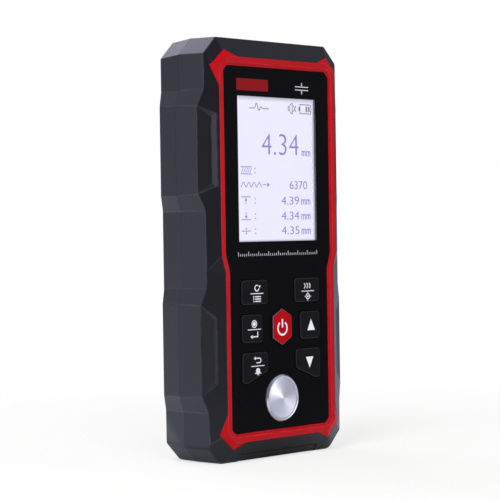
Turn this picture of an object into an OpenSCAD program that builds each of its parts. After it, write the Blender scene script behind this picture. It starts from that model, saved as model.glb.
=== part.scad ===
// Handheld ultrasonic thickness gauge, standing upright with its panel towards -Y.
// The parting line of the two case halves lies in the plane Y = 0, and Z = 0 is the floor.

/* [Body] */
// Width across the plain bands at the front edge
body_w = 66.4; // [65.6:0.2:74]
// Overall height
body_h = 143; // [141:0.5:152]
// Depth from the parting line to the panel face
front_d = 13.6; // [13.2:0.2:17]
// Depth from the parting line to the back face
back_d = 14.6; // [14.2:0.2:18]
// Widening of each side from the front edge to the parting line
side_flare = 0.5; // [0:0.1:1]
// Narrowing of each side from the parting line to the rear edge
rear_draft = 1; // [0.2:0.1:1.6]
// Fall of the top face from the parting line to the rear edge
top_fall = 0.7; // [0.2:0.1:1]
// Fall of the top face from the parting line to the front edge
front_fall = 0.3; // [0:0.1:0.6]
// Size of the cut corners
corner_cut = 5.8; // [5:0.1:6.4]
// Depth of the front bevel
bevel_d = 3.2; // [2.6:0.1:3.6]
// Depth of the rear bevel
rear_bevel_d = 4.8; // [4:0.1:5.2]
// Width of the rear bevel
rear_bevel_w = 8; // [7:0.2:8.6]
// Wall of the case halves
wall = 2.2; // [1.8:0.1:2.6]

/* [Grips] */
// Outward swell of each grip
grip_swell = 1.9; // [1:0.1:2.4]
// Height of the lower grip's foot
low_grip_z = 22.6; // [20:0.2:25]
// Length of the lower grip
low_grip_l = 31.1; // [28:0.2:32]
// Height of the upper grip's foot
high_grip_z = 89.8; // [87:0.2:92]
// Length of the upper grip
high_grip_l = 30.2; // [28:0.2:31]
// Length of the slope at each end of a grip
grip_ramp = 5.1; // [4:0.1:6]
// Depth of the upper finger scoops under the bevel
high_scoop_d = 1.6; // [0.8:0.1:1.8]
// Depth of the lower finger scoops under the bevel
low_scoop_d = 0.9; // [0.5:0.05:1.4]
// Land between the trim and an upper scoop's wall
high_scoop_land = 1.5; // [1.1:0.1:2]
// Land between the trim and a lower scoop's wall
low_scoop_land = 3.4; // [2.4:0.1:4]
// Set-in of an upper scoop's wall at each end
high_scoop_set_in = 4; // [2.4:0.1:5]
// Set-in of a lower scoop's wall at each end
low_scoop_set_in = 5; // [3:0.1:6]
// Lean of a scoop's wall for each unit of depth
scoop_lean = 0.3; // [0.1:0.05:0.6]
// Lean of a scoop's ends for each unit of depth
scoop_end_lean = 0.7; // [0.3:0.05:1]

/* [Panel and trim] */
// Width of the panel beside the display
panel_w_high = 52.6; // [50:0.2:53.2]
// Width of the panel beside the keys
panel_w_low = 49; // [47.6:0.2:50]
// Height of the panel's lower edge
panel_z = 9.9; // [9.4:0.1:11]
// Distance from the panel's upper edge to the top
panel_drop = 9.8; // [9.4:0.1:11]
// Thickness of the panel
panel_t = 1.5; // [1.2:0.1:1.8]
// Cut corners of the panel
panel_cut = 1.8; // [1:0.1:2.4]
// Height where the panel starts to widen
jog_z = 64.2; // [63:0.1:65]
// Length of the widening
jog_l = 5.7; // [4:0.1:7]
// Width of the trim at the sides
trim_side = 2.65; // [2.2:0.05:2.9]
// Width of the trim at the ends
trim_end = 3; // [2.6:0.1:3.2]
// Height of the trim above the panel
trim_proud = 0.8; // [0.4:0.1:1]
// Width of the trim's inner chamfer
trim_chamfer = 0.8; // [0.4:0.1:1.2]
// Reach of the trim's corner points beyond the panel's corner
point_reach = 5.3; // [4.4:0.1:5.6]
// Run of the slope that leads to a corner point
point_run = 7; // [5:0.2:9]
// Ledge that carries the trim
trim_ledge = 1.4; // [1:0.1:1.6]
// Depth of the trim's seat behind the panel face
seat_d = 2.6; // [2.4:0.1:3]
// Thickness of the deck behind the panel
deck_t = 1.5; // [1.2:0.1:1.8]

/* [Display] */
// Width of the display window
window_w = 39.3; // [36:0.1:40.4]
// Height of the display window
window_h = 49; // [44:0.2:50]
// Distance from the panel's upper edge to the window
window_drop = 9.9; // [8.6:0.1:10.6]
// Thickness of the clear window
window_t = 1.3; // [0.8:0.1:1.4]
// Frame of the display glass round the window
glass_border = 2.8; // [1.6:0.1:3]
// Thickness of the display glass
glass_t = 2.2; // [1.4:0.1:2.4]

/* [Keys] */
// Height of the keys above the panel
key_proud = 0.6; // [0.3:0.1:1]
// Height of the lower keys' foot
key_foot_z = 26.4; // [25.8:0.1:27]
// Gap between the key rows
key_row_gap = 3.35; // [2.8:0.05:4]
// Gap between the upper keys and the display glass
key_glass_gap = 8.6; // [8:0.1:10]
// Travel of a key
key_travel = 0.7; // [0.4:0.1:0.8]
// Distance from the middle to the outer edge of the keys
key_outer = 19.6; // [19:0.1:20]
// Corner radius of the keys
key_r = 1.3; // [0.6:0.1:1.6]
// Collar that keeps a key behind the deck
key_collar = 0.8; // [0.5:0.1:1]
// Thickness of that collar
collar_t = 0.8; // [0.6:0.1:1]
// Width of the power key
power_w = 9.6; // [8:0.1:10]
// Height of the power key
power_h = 12.7; // [11:0.1:13]
// Height of the power key above the panel
power_proud = 0.9; // [0.4:0.1:1]

/* [Calibration block] */
// Radius of the steel block
block_r = 8; // [7:0.1:8.4]
// Thickness of the steel block
block_t = 4; // [3:0.1:4.4]
// Height of the block's centre
block_z = 20.35; // [19.6:0.05:20.8]
// Height of the block above the panel
block_proud = 1; // [0.6:0.1:1.4]
// Edge chamfer of the block
block_chamfer = 0.35; // [0.1:0.05:0.6]

/* [Board] */
// Thickness of the circuit board
board_t = 1.6; // [1:0.1:1.8]
// Depth of the board's front behind the panel face
board_y = 6.6; // [6.4:0.1:7]
// Half width of the board
board_hw = 24.3; // [23.4:0.1:24.6]
// Radius of a board screw
board_screw_r = 0.85; // [0.7:0.05:1]
// Radius of a boss for a board screw
board_boss_r = 2.2; // [1.8:0.1:2.3]

/* [Battery] */
// Radius of a cell
cell_r = 5.25; // [5:0.05:5.4]
// Length of a cell with its nub
cell_l = 44.5; // [43:0.1:45]
// Distance between cells
cell_pitch = 11.2; // [11:0.1:11.4]
// Length of a contact spring
spring_l = 4.2; // [3:0.1:5]
// Thickness of a contact plate
plate_t = 0.4; // [0.3:0.05:0.6]
// Half width of the door
door_hw = 18.9; // [18.4:0.1:19.4]
// Thickness of the door
door_t = 1.8; // [1.5:0.1:2]
// Height of the door's lip at the front
lip_h = 2.5; // [2:0.1:3]
// Clearance of the lip above the floor
lip_lift = 0.25; // [0.2:0.05:0.5]
// Width of the door's side tongues
tongue_w = 1.1; // [0.8:0.1:1.4]
// Thickness of the door's side tongues
tongue_t = 1.1; // [0.8:0.1:1.3]

/* [Probe sockets] */
// Distance between the two sockets
socket_pitch = 18; // [15:0.5:22]
// Radius of a socket's bore
socket_bore_r = 2.55; // [2:0.05:2.6]
// Depth of a socket's bore
socket_bore_l = 6; // [4:0.2:7]
// Outer radius of a socket's sleeve
socket_r = 3.2; // [3.1:0.1:3.4]
// Radius of a socket's flange
socket_flange_r = 3.8; // [3.7:0.1:4]
// Depth of the pocket round the sockets
pocket_d = 3.6; // [3:0.1:4]

/* [Case screws] */
// Radius of a screw's shank
screw_r = 1.3; // [1:0.05:1.5]
// Radius of a screw's head
screw_head_r = 2.5; // [2.2:0.1:2.7]
// Height of a screw's head
screw_head_h = 1.8; // [1.4:0.1:2]
// Distance of the screws from each end
screw_end = 14; // [12:0.5:16]

/* [Fits] */
// Gap of parts that are glued or clipped in place
fit = 0.1; // [0.05:0.01:0.15]
// Gap of parts that slide
slip = 0.2; // [0.15:0.01:0.25]

/* [Hidden] */
$fn = 48;
eps = 0.01;
over = 1;
beyond = 20;

// Planes along Y
panel_y = -front_d;
trim_y = panel_y - trim_proud;
edge_y = trim_y + bevel_d;
deck_y = panel_y + panel_t;
deck_back_y = deck_y + deck_t;
seat_y = panel_y + seat_d;
rim_t = 1.4;
cavity_y = seat_y + rim_t;
pcb_y = panel_y + board_y;
pcb_back_y = pcb_y + board_t;
rear_edge_y = back_d - rear_bevel_d;
inner_back_y = back_d - wall;

// Half widths at the front edge, the parting line, the rear edge and the back
edge_hw = body_w / 2;
part_hw = edge_hw + side_flare;
rear_hw = part_hw - rear_draft;
back_hw = rear_hw - rear_bevel_w;
back_cut = 3.5;

// Panel, trim and display along X and Z
panel_hw_high = panel_w_high / 2;
panel_hw_low = panel_w_low / 2;
panel_top_z = body_h - panel_drop;
jog_top_z = jog_z + jog_l;
trim_hw_high = panel_hw_high + trim_side;
trim_hw_low = panel_hw_low + trim_side;
trim_z = panel_z - trim_end;
trim_top_z = panel_top_z + trim_end;
trim_cut = 4;
point_shift = 0.6;
point_lead = 1;
end_chamfer = 1.4 * trim_chamfer;
window_top_z = panel_top_z - window_drop;
window_z = window_top_z - window_h;
glass_hw = window_w / 2 + glass_border;
glass_end = 1.6 * glass_border;
glass_z = window_z - glass_end;
glass_top_z = window_top_z + glass_end;

// Slopes of the front bevel beside the keys, beside the display, and of the rear bevel
low_slope = bevel_d / (edge_hw - trim_hw_low);
high_slope = bevel_d / (edge_hw - trim_hw_high);
rear_slope = rear_bevel_d / rear_bevel_w;

// Grip heights from the bottom up
low_grip_top = low_grip_z + low_grip_l;
high_grip_top = high_grip_z + high_grip_l;

// Scoops: depth left at the grip's edge, margin to its ends, reach past it and height of the cutter
scoop_tip = 0.15;
scoop_margin = 0.7;
scoop_reach = 3;
scoop_rise = 6;

// Keys: shares of the height from the bottom row up, and inner edges of the rows
key_room = glass_z - key_glass_gap - key_foot_z - 2 * key_row_gap;
key_shares = [0.367, 0.338, 0.295];
key_inners = [7.1, 9.6, 6.9];
key_hs = key_room * key_shares;
mid_foot_z = key_foot_z + key_hs[0] + key_row_gap;
key_feet = [key_foot_z, mid_foot_z, mid_foot_z + key_hs[1] + key_row_gap];
// Rows from the bottom up as lower edge, upper edge and inner edge
key_rows = [for (i = [0 : 2]) [key_feet[i], key_feet[i] + key_hs[i], key_inners[i]]];
slant_foot = 2.7;
slant_w = key_outer - key_inners[0] - slant_foot;
slant_h = 3.8;
power_z = (key_rows[1][0] + key_rows[1][1]) / 2;
power_shoulder = 2.6;
key_floor_y = deck_back_y + fit;
key_back_y = key_floor_y + collar_t;
mat_t = 0.9;
mat_rib = 1.2;
mat_gap = 0.8;
mat_hw = key_outer + key_collar + mat_gap + mat_rib;
mat_z = key_rows[0][0] - key_collar - mat_gap - mat_rib;
mat_top_z = key_rows[2][1] + key_collar + mat_gap + mat_rib;
switch_lift = 0.6;
mat_y = key_back_y + key_travel + fit;
switch_r = 3;
switch_h = pcb_y - mat_y - mat_t - 2 * fit;

// Board outline, bosses and screws
board_reach = 0.9;
board_cut = 4;
board_z = panel_z - board_reach;
board_top_z = panel_top_z + board_reach;
boss_inset = 2.8;
low_boss_inset = 3.8;
low_boss_rise = 2;
boss_gap = 0.65;
boss_spots = [[board_hw - boss_inset, glass_top_z + board_boss_r + boss_gap],
    [board_hw - boss_inset, glass_z - board_boss_r - boss_gap],
    [board_hw - low_boss_inset, panel_z + board_boss_r + low_boss_rise]];
board_screw_head_r = 2.1 * board_screw_r;
board_screw_head_h = 1.2;
boss_floor = 0.8;
board_screw_l = board_y - panel_t - boss_floor;
screw_tip_gap = 0.4;

// Chips as width, height, rise, place across and height of their middle
chips = [[14, 14, 1.4, -6, 78], [9, 7, 1.2, -14, 62], [7, 9, 1.2, 15, 104], [5, 5, 1, 12, 62]];

// Shield and buzzer on the back of the board
can_w = 24;
can_h = 20;
can_d = 2.6;
can_t = 0.3;
can_x = -6;
can_z = 104;
buzzer_r = 6;
buzzer_d = 3.2;
buzzer_y = pcb_back_y + buzzer_d;
buzzer_hole_r = 1;
buzzer_hole_d = 2.2;
buzzer_x = 12;
buzzer_z = 80;

// Display ribbon and the cup that holds the steel block
ribbon_hw = 8;
ribbon_t = 0.2;
cup_wall = 1.3;
cup_floor = 1.2;
cup_r = block_r + fit + cup_wall;

// Battery bay, from its floor to the door
bay_side = 1.8;
bay_hw = cell_pitch + cell_r + bay_side;
bay_wall = 1.4;
door_y = back_d - door_t;
door_run = norm([1, rear_slope]);
door_knee_z = rear_bevel_w - door_t * (door_run - 1) / rear_slope;
cell_nub_h = 1;
cell_nub_r = 1.9;
cell_y = door_y - slip - cell_r - fit;
bay_y = cell_y - cell_r - slip;
bay_z = max(lip_h + slip + bay_wall, door_knee_z - cell_nub_h - plate_t);
bay_l = 2 * plate_t + spring_l + cell_l + 2 * fit;
bay_top_z = bay_z + bay_l;
bay_rib_w = 1;
bay_rib_d = 2.4;
door_overlap = 0.4;
door_top_z = bay_top_z + door_overlap;
tongue_rise = 0.3;
tongue_y = door_y + tongue_rise;
tongue_start = 4;
tongue_z = rear_bevel_w + tongue_start;
rail_w = 2;
lip_set = 0.1;
lip_slope = bevel_d / trim_z;
ridge_hw = 8;
ridge_w = 1.2;
ridge_d = 0.5;
ridge_pitch = 2.4;
ridge_drop = 16;
ridge_count = 5;

// Contacts: plates, coils and their wire
plate_hw = 4.4;
plate_front = 3.6;
plate_back = 2.2;
coil_r = 3.6;
coil_tip_r = 2;
coil_turns = 3;
coil_steps = 36;
wire_r = 0.35;
wire_sides = 6;
coil_sink = 0.15;

// Sockets in the top pocket
socket_y = rear_edge_y / 2 + fit;
pocket_z = body_h - pocket_d;
pocket_gap = 0.35;
pocket_hw = socket_flange_r + pocket_gap;
pocket_floor_t = 2.2;
socket_rise = 2.4;
socket_top_z = pocket_z + socket_rise;
socket_step = 0.8;
socket_flange_h = 1;
pin_r = 0.7;
pin_l = 2.5;
socket_l = 11;
nut_r = 4.4;
nut_h = 2;

// Case screws
screw_inset = 2.2;
screw_x = edge_hw - wall - screw_inset;
screw_spots = [[screw_x, screw_end], [screw_x, body_h - top_fall - screw_end]];
screw_boss_wall = 1.2;
screw_boss_r = screw_r + screw_boss_wall;
well_wall = 1.6;
screw_seat_y = 4.2;
screw_l = 9;

// Points of a right half, completed with its mirror image into a closed outline
function whole(half) = concat(half, [for (i = [len(half) - 1 : -1 : 0]) [-half[i][0], half[i][1]]]);

// One side of the case from the bottom up: low and high half widths, swell, bottom, top and corner cut
function case_half(low, high, swell, bottom, top, cut) = [
    [low - cut, bottom], [low, bottom + cut],
    [low, low_grip_z - grip_ramp], [low + swell, low_grip_z],
    [low + swell, low_grip_top], [low, low_grip_top + grip_ramp],
    [low, jog_z], [high, jog_top_z],
    [high, high_grip_z - grip_ramp], [high + swell, high_grip_z],
    [high + swell, high_grip_top], [high, high_grip_top + grip_ramp],
    [high, top - cut], [high - cut, top]];

// A closed ring of the case at depth y, where the swollen points also move back along the bevels
function case_ring(low, high, swell, bottom, top, cut, y, low_k, high_k) =
    let (half = case_half(low, high, swell, bottom, top, cut))
    let (shift = [for (p = half) p[1] < jog_z ? low_k * max(0, p[0] - low) : high_k * max(0, p[0] - high)])
    let (n = len(half))
    [for (i = [0 : 2 * n - 1]) let (j = i < n ? i : 2 * n - 1 - i)
        [(i < n ? 1 : -1) * half[j][0], y + shift[j], half[j][1]]];

// Rings of the front half and of the rear half
front_rings = [
    case_ring(trim_hw_low, trim_hw_high, 0, trim_z, trim_top_z, trim_cut, trim_y, 0, 0),
    case_ring(edge_hw, edge_hw, grip_swell, 0, body_h - front_fall, corner_cut,
        edge_y, low_slope, high_slope),
    case_ring(part_hw, part_hw, grip_swell, 0, body_h, corner_cut, 0, 0, 0)];
rear_rings = [
    case_ring(part_hw, part_hw, grip_swell, 0, body_h, corner_cut, 0, 0, 0),
    case_ring(rear_hw, rear_hw, grip_swell, 0, body_h - top_fall, corner_cut,
        rear_edge_y, -rear_slope, -rear_slope),
    case_ring(back_hw, back_hw, 0, rear_bevel_w, body_h - top_fall - rear_bevel_w, back_cut, back_d, 0, 0)];
rear_hollow_rings = [
    case_ring(part_hw - wall, part_hw - wall, grip_swell, wall, body_h - wall - top_fall, corner_cut,
        -over, 0, 0),
    case_ring(rear_hw - wall, rear_hw - wall, grip_swell, wall, body_h - wall - top_fall, corner_cut,
        rear_edge_y - over, -rear_slope, -rear_slope),
    case_ring(back_hw - wall / 2, back_hw - wall / 2, 0, rear_bevel_w + wall / 2,
        body_h - top_fall - rear_bevel_w - wall / 2, back_cut, inner_back_y, 0, 0)];

// The panel's outline, grown by side at the sides and by end at the ends
function panel_half(side, end) = [
    [panel_hw_low + side - panel_cut, panel_z - end], [panel_hw_low + side, panel_z - end + panel_cut],
    [panel_hw_low + side, jog_z], [panel_hw_high + side, jog_top_z],
    [panel_hw_high + side, panel_top_z + end - panel_cut],
    [panel_hw_high + side - panel_cut, panel_top_z + end]];

// The trim's outline with its corner points
function trim_half() = [
    [panel_hw_low - point_shift - point_run + point_lead, trim_z],
    [panel_hw_low - point_shift, panel_z - point_reach],
    [panel_hw_low + point_reach, panel_z],
    [trim_hw_low, panel_z + point_run],
    [trim_hw_low, jog_z], [trim_hw_high, jog_top_z],
    [trim_hw_high, panel_top_z - point_run],
    [panel_hw_high + point_reach, panel_top_z],
    [panel_hw_high - point_shift, panel_top_z + point_reach],
    [panel_hw_high - point_shift - point_run + point_lead, trim_top_z]];

// The opening inside the trim's ledge
function throat_half(gap) =
    let (low = trim_hw_low - trim_ledge - gap)
    let (high = trim_hw_high - trim_ledge - gap)
    let (bottom = trim_z + trim_ledge + gap)
    let (top = trim_top_z - trim_ledge - gap)
    [[low - trim_cut, bottom], [low, bottom + trim_cut], [low, jog_z], [high, jog_top_z],
        [high, top - trim_cut], [high - trim_cut, top]];

function flat_ring(half, y) = [for (p = whole(half)) [p[0], y, p[1]]];

// A solid through mirrored rings of equal length, ordered from front to back and capped strip by strip
module loft(rings) {
    n = len(rings[0]);
    last = (len(rings) - 1) * n;
    strips = [0 : n / 2 - 2];
    sides = [for (i = [0 : len(rings) - 2]) for (k = [0 : n - 1])
        let (m = (k + 1) % n) [i * n + k, i * n + m, (i + 1) * n + m, (i + 1) * n + k]];
    front = [for (k = strips) [n - 1 - k, n - 2 - k, k + 1, k]];
    back = [for (k = strips) [last + k, last + k + 1, last + n - 2 - k, last + n - 1 - k]];
    polyhedron([for (r = rings) for (p = r) p], concat(front, sides, back));
}

// A front-view outline as a slab between two depths
module slab(y0, y1) translate([0, y1, 0]) rotate([90, 0, 0]) linear_extrude(y1 - y0) children();

// A round rod along Y
module rod(x, z, r, y0, y1) translate([x, y1, z]) rotate([90, 0, 0]) cylinder(r = r, h = y1 - y0);

// A box between two corners
module span(a, b) translate(a) cube(b - a);

// Children on the right and mirrored on the left
module both_sides() {
    children();
    mirror([1, 0, 0]) children();
}

// A finger scoop in the bevel of the right side, from its leaning wall out past the grip's edge
module scoop(edge, slope, depth, land, set_in, foot, head) {
    wall_x = edge + land;
    wall_y = trim_y + slope * land + depth;
    tip_x = edge_hw + grip_swell;
    tip_y = trim_y + slope * (tip_x - edge) + scoop_tip;
    out_x = tip_x + scoop_reach;
    out_y = wall_y + (tip_y - wall_y) * (out_x - wall_x) / (tip_x - wall_x);
    lean = scoop_lean * scoop_rise;
    end_lean = scoop_end_lean * scoop_rise;
    spread = (set_in - scoop_margin) * scoop_reach / (tip_x - wall_x) - scoop_margin;
    run = out_x - wall_x;
    turn = (out_y - wall_y) * end_lean / scoop_rise + set_in + spread;
    wall_end = end_lean - lean * turn / run;
    points = [
        [wall_x, wall_y, foot + set_in], [wall_x, wall_y, head - set_in],
        [out_x, out_y, head + spread], [out_x, out_y, foot - spread],
        [wall_x - lean, wall_y - scoop_rise, foot + set_in - wall_end],
        [wall_x - lean, wall_y - scoop_rise, head - set_in + wall_end],
        [out_x, out_y - scoop_rise, head + spread + end_lean],
        [out_x, out_y - scoop_rise, foot - spread - end_lean]];
    polyhedron(points, [[3, 2, 1, 0], [4, 5, 6, 7], [0, 1, 5, 4], [1, 2, 6, 5], [2, 3, 7, 6], [3, 0, 4, 7]]);
}

// Outer form of the front half with its finger scoops
module scooped_front() difference() {
    loft(front_rings);
    both_sides() {
        scoop(trim_hw_low, low_slope, low_scoop_d, low_scoop_land, low_scoop_set_in,
            low_grip_z, low_grip_top);
        scoop(trim_hw_high, high_slope, high_scoop_d, high_scoop_land, high_scoop_set_in,
            high_grip_z, high_grip_top);
    }
}

// The same form with the stepped opening that takes the trim
module stepped_front() difference() {
    difference() {
        scooped_front();
        slab(trim_y - beyond, seat_y) offset(delta = fit) polygon(whole(trim_half()));
    }
    slab(seat_y - over, cavity_y + over) polygon(whole(throat_half(0)));
}

// Front half of the case: bevelled rim with grips, the trim's seat, the screw bosses and the lip's notch
module front_shell() color([0.13, 0.13, 0.14]) difference() {
    stepped_front();
    difference() {
        slab(cavity_y, over) polygon(whole(case_half(edge_hw - wall, edge_hw - wall, grip_swell,
            lip_h + slip + wall, body_h - front_fall - wall, corner_cut)));
        both_sides() for (s = screw_spots) rod(s[0], s[1], screw_boss_r, cavity_y - over, 2 * over);
    }
    both_sides() for (s = screw_spots)
        rod(s[0], s[1], screw_r + fit / 2, screw_seat_y - screw_l - over, over);
    span([-door_hw - slip, -front_d - beyond, -over], [door_hw + slip, over, lip_h + slip]);
}

// Rear half of the case: battery bay, door rails, socket pocket and screw wells
module rear_shell() color([0.13, 0.13, 0.14]) difference() {
    union() {
        difference() {
            loft(rear_rings);
            loft(rear_hollow_rings);
        }
        intersection() {
            loft(rear_rings);
            union() {
                span([-bay_hw - bay_wall, bay_y - bay_wall, -over],
                    [bay_hw + bay_wall, back_d + over, bay_top_z + bay_wall]);
                both_sides() span([bay_hw, tongue_y - tongue_t - rail_w, -over],
                    [door_hw + tongue_w + rail_w, back_d + over, door_top_z + rail_w]);
                span([-socket_pitch / 2 - pocket_hw - wall, -over, pocket_z - pocket_floor_t],
                    [socket_pitch / 2 + pocket_hw + wall, rear_edge_y + over, body_h + over]);
                both_sides() for (s = screw_spots)
                    rod(s[0], s[1], screw_head_r + well_wall, -over, back_d + over);
            }
        }
    }
    difference() {
        span([-bay_hw, bay_y, bay_z], [bay_hw, back_d + over, bay_top_z]);
        both_sides() span([(cell_pitch - bay_rib_w) / 2, bay_y - over, bay_z - over],
            [(cell_pitch + bay_rib_w) / 2, bay_y + bay_rib_d, bay_top_z + over]);
    }
    span([-door_hw - slip, door_y - slip, -over], [door_hw + slip, back_d + over, door_top_z + slip]);
    span([-door_hw - slip, -over, -over], [door_hw + slip, back_d + over, lip_h + slip]);
    door_bevel_path();
    both_sides() {
        span([0, tongue_y - tongue_t - slip, -over],
            [door_hw + tongue_w + slip, tongue_y + slip, door_top_z + slip]);
        for (s = screw_spots) {
            rod(s[0], s[1], screw_head_r + fit, screw_seat_y, back_d + over);
            rod(s[0], s[1], screw_r + fit, -over, screw_seat_y + eps);
        }
    }
    socket_pocket();
    for (x = [-1, 1] * socket_pitch / 2)
        translate([x, socket_y, 0]) cylinder(r = socket_r + fit / 2, h = body_h);
}

// Room for the door's sloping foot
module door_bevel_path() {
    foot_y = rear_edge_y - door_t * door_run - slip;
    top = rear_bevel_w + over;
    translate([-door_hw - slip, 0, 0]) rotate([90, 0, 90]) linear_extrude(2 * (door_hw + slip))
        polygon([[foot_y, 0], [foot_y + rear_slope * top, top], [back_d + over, top], [back_d + over, 0]]);
}

// Long round-ended pocket for the two sockets
module socket_pocket() {
    for (x = [-1, 1] * socket_pitch / 2)
        translate([x, socket_y, pocket_z]) cylinder(r = pocket_hw, h = pocket_d + over);
    span([-socket_pitch / 2, socket_y - pocket_hw, pocket_z],
        [socket_pitch / 2, socket_y + pocket_hw, body_h + over]);
}

// Red frame: the trim with its wrapped corners and the deck behind the panel
module front_frame() color([0.78, 0.09, 0.12]) difference() {
    union() {
        intersection() {
            loft(front_rings);
            slab(-front_d - beyond, seat_y) polygon(whole(trim_half()));
        }
        slab(deck_y - eps, deck_back_y) polygon(whole(throat_half(fit)));
        rod(0, block_z, cup_r, deck_y, panel_y - block_proud + block_t + cup_floor);
        both_sides() for (s = boss_spots) rod(s[0], s[1], board_boss_r, deck_y, pcb_y);
    }
    slab(-front_d - beyond, deck_y) offset(delta = fit) polygon(whole(panel_half(0, 0)));
    loft([flat_ring(panel_half(2 * trim_chamfer, 2 * end_chamfer), trim_y - trim_proud),
        flat_ring(panel_half(0, 0), panel_y)]);
    span([-glass_hw - slip, deck_y - over, glass_z - slip],
        [glass_hw + slip, deck_back_y + over, glass_top_z + slip]);
    slab(deck_y - over, deck_back_y + over) offset(delta = slip) all_keys();
    rod(0, block_z, block_r + fit, deck_y - over, panel_y - block_proud + block_t);
    both_sides() for (s = boss_spots)
        rod(s[0], s[1], board_screw_r + fit / 2, pcb_y - board_screw_l, pcb_y + over);
}

// Gloss panel with the display opening, the key openings and the hole for the steel block
module front_panel() color([0.05, 0.05, 0.06]) difference() {
    slab(panel_y, deck_y) polygon(whole(panel_half(0, 0)));
    span([-window_w / 2 - fit, panel_y - over, window_z - fit],
        [window_w / 2 + fit, deck_y + over, window_top_z + fit]);
    slab(panel_y - over, deck_y + over) offset(delta = slip) all_keys();
    rod(0, block_z, block_r + fit, panel_y - over, deck_y + over);
}

// Clear window in the panel
module display_window() color([0.85, 0.9, 0.95, 0.4])
    span([-window_w / 2, panel_y + fit, window_z], [window_w / 2, panel_y + fit + window_t, window_top_z]);

// Display glass behind the window
module display_glass() color([0.9, 0.9, 0.98])
    span([-glass_hw, deck_y + fit, glass_z], [glass_hw, deck_y + fit + glass_t, glass_top_z]);

// Light box between the glass and the board
module display_backlight() color([0.95, 0.95, 0.93])
    span([-glass_hw, deck_y + fit + glass_t, glass_z], [glass_hw, pcb_y - fit / 2, glass_top_z]);

// Flat ribbon that bends from the glass down to the board
module display_ribbon() color([0.8, 0.55, 0.15]) {
    start_y = deck_back_y + slip;
    r = (pcb_y - start_y) / 2;
    translate([-ribbon_hw, start_y + r, glass_z]) rotate([0, 90, 0]) difference() {
        cylinder(r = r, h = 2 * ribbon_hw);
        translate([0, 0, -over]) cylinder(r = r - ribbon_t, h = 2 * (ribbon_hw + over));
        translate([-2 * r, -2 * r, -over]) cube([2 * r, 4 * r, 2 * (ribbon_hw + over)]);
    }
}

// Outline of a key in row i on the right, where the lowest key is cut away beside the steel block
module key_shape(i) {
    row = key_rows[i];
    corner = [row[2], row[0]];
    foot = i == 0 ? [corner + [slant_w, 0], corner + [0, slant_h]] : [corner];
    offset(r = key_r) offset(delta = -key_r)
        polygon(concat([[row[2], row[1]], [key_outer, row[1]], [key_outer, row[0]]], foot));
}

// Outline of the six-sided power key
module power_shape() {
    w = power_w / 2;
    h = power_h / 2;
    translate([0, power_z]) polygon([[0, h], [w, h - power_shoulder], [w, power_shoulder - h],
        [0, -h], [-w, power_shoulder - h], [-w, h - power_shoulder]]);
}

// All key outlines together, as cut from the panel and the deck
module all_keys() {
    for (i = [0 : 2]) {
        key_shape(i);
        mirror([1, 0]) key_shape(i);
    }
    power_shape();
}

// A key cap with the collar that holds it behind the deck
module key_cap(proud) {
    slab(panel_y - proud, key_back_y) children();
    slab(key_floor_y, key_back_y) offset(delta = key_collar) children();
}

module key_menu() color([0.07, 0.07, 0.08]) key_cap(key_proud) mirror([1, 0]) key_shape(2);
module key_enter() color([0.07, 0.07, 0.08]) key_cap(key_proud) mirror([1, 0]) key_shape(1);
module key_back() color([0.07, 0.07, 0.08]) key_cap(key_proud) mirror([1, 0]) key_shape(0);
module key_calibrate() color([0.07, 0.07, 0.08]) key_cap(key_proud) key_shape(2);
module key_up() color([0.07, 0.07, 0.08]) key_cap(key_proud) key_shape(1);
module key_down() color([0.07, 0.07, 0.08]) key_cap(key_proud) key_shape(0);
module key_power() color([0.8, 0.08, 0.1]) key_cap(power_proud) power_shape();

// Middles of the keys, where the mat and the switches meet
key_spots = concat([for (r = key_rows) for (s = [-1, 1])
    [s * (r[2] + key_outer) / 2, (r[0] + r[1]) / 2 + switch_lift]],
    [[0, power_z]]);

// Rubber mat behind the keys, with a rim that stands between the deck and the board
module keypad_mat() color([0.25, 0.25, 0.27]) difference() {
    union() {
        span([-mat_hw, mat_y, mat_z], [mat_hw, mat_y + mat_t, mat_top_z]);
        difference() {
            span([-mat_hw, deck_back_y + fit, mat_z], [mat_hw, pcb_y - fit, mat_top_z]);
            span([mat_rib - mat_hw, deck_back_y - over, mat_z + mat_rib],
                [mat_hw - mat_rib, pcb_y + over, mat_top_z - mat_rib]);
        }
    }
    rod(0, block_z, cup_r + mat_gap, deck_back_y - over, pcb_y + over);
}

// Round steel block for calibration, with a chamfered edge
module calibration_block() color([0.8, 0.8, 0.83]) translate([0, panel_y - block_proud + block_t, block_z])
    rotate([90, 0, 0]) {
        cylinder(r = block_r, h = block_t - block_chamfer);
        translate([0, 0, block_t - block_chamfer])
            cylinder(r1 = block_r, r2 = block_r - block_chamfer, h = block_chamfer);
    }

// Circuit board with cut corners and its screw holes
module main_board() color([0.05, 0.35, 0.18]) difference() {
    slab(pcb_y, pcb_back_y) polygon(whole([[board_hw - board_cut, board_z], [board_hw, board_z + board_cut],
        [board_hw, board_top_z - board_cut], [board_hw - board_cut, board_top_z]]));
    both_sides() for (s = boss_spots) rod(s[0], s[1], board_screw_r + fit, pcb_y - over, pcb_back_y + over);
}

// Low push switches under the keys
module key_switches() color([0.75, 0.75, 0.78]) for (s = key_spots)
    rod(s[0], s[1], switch_r, pcb_y - switch_h, pcb_y);

// Chips on the back of the board
module board_chips() color([0.1, 0.1, 0.11]) for (c = chips)
    translate([c[3] - c[0] / 2, pcb_back_y, c[4] - c[1] / 2]) cube([c[0], c[2], c[1]]);

// Shield over the pulse circuit
module shield_can() color([0.7, 0.71, 0.73]) translate([can_x - can_w / 2, pcb_back_y, can_z - can_h / 2])
    difference() {
        cube([can_w, can_d, can_h]);
        translate([can_t, -over, can_t]) cube([can_w - 2 * can_t, can_d - can_t + over, can_h - 2 * can_t]);
    }

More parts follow.
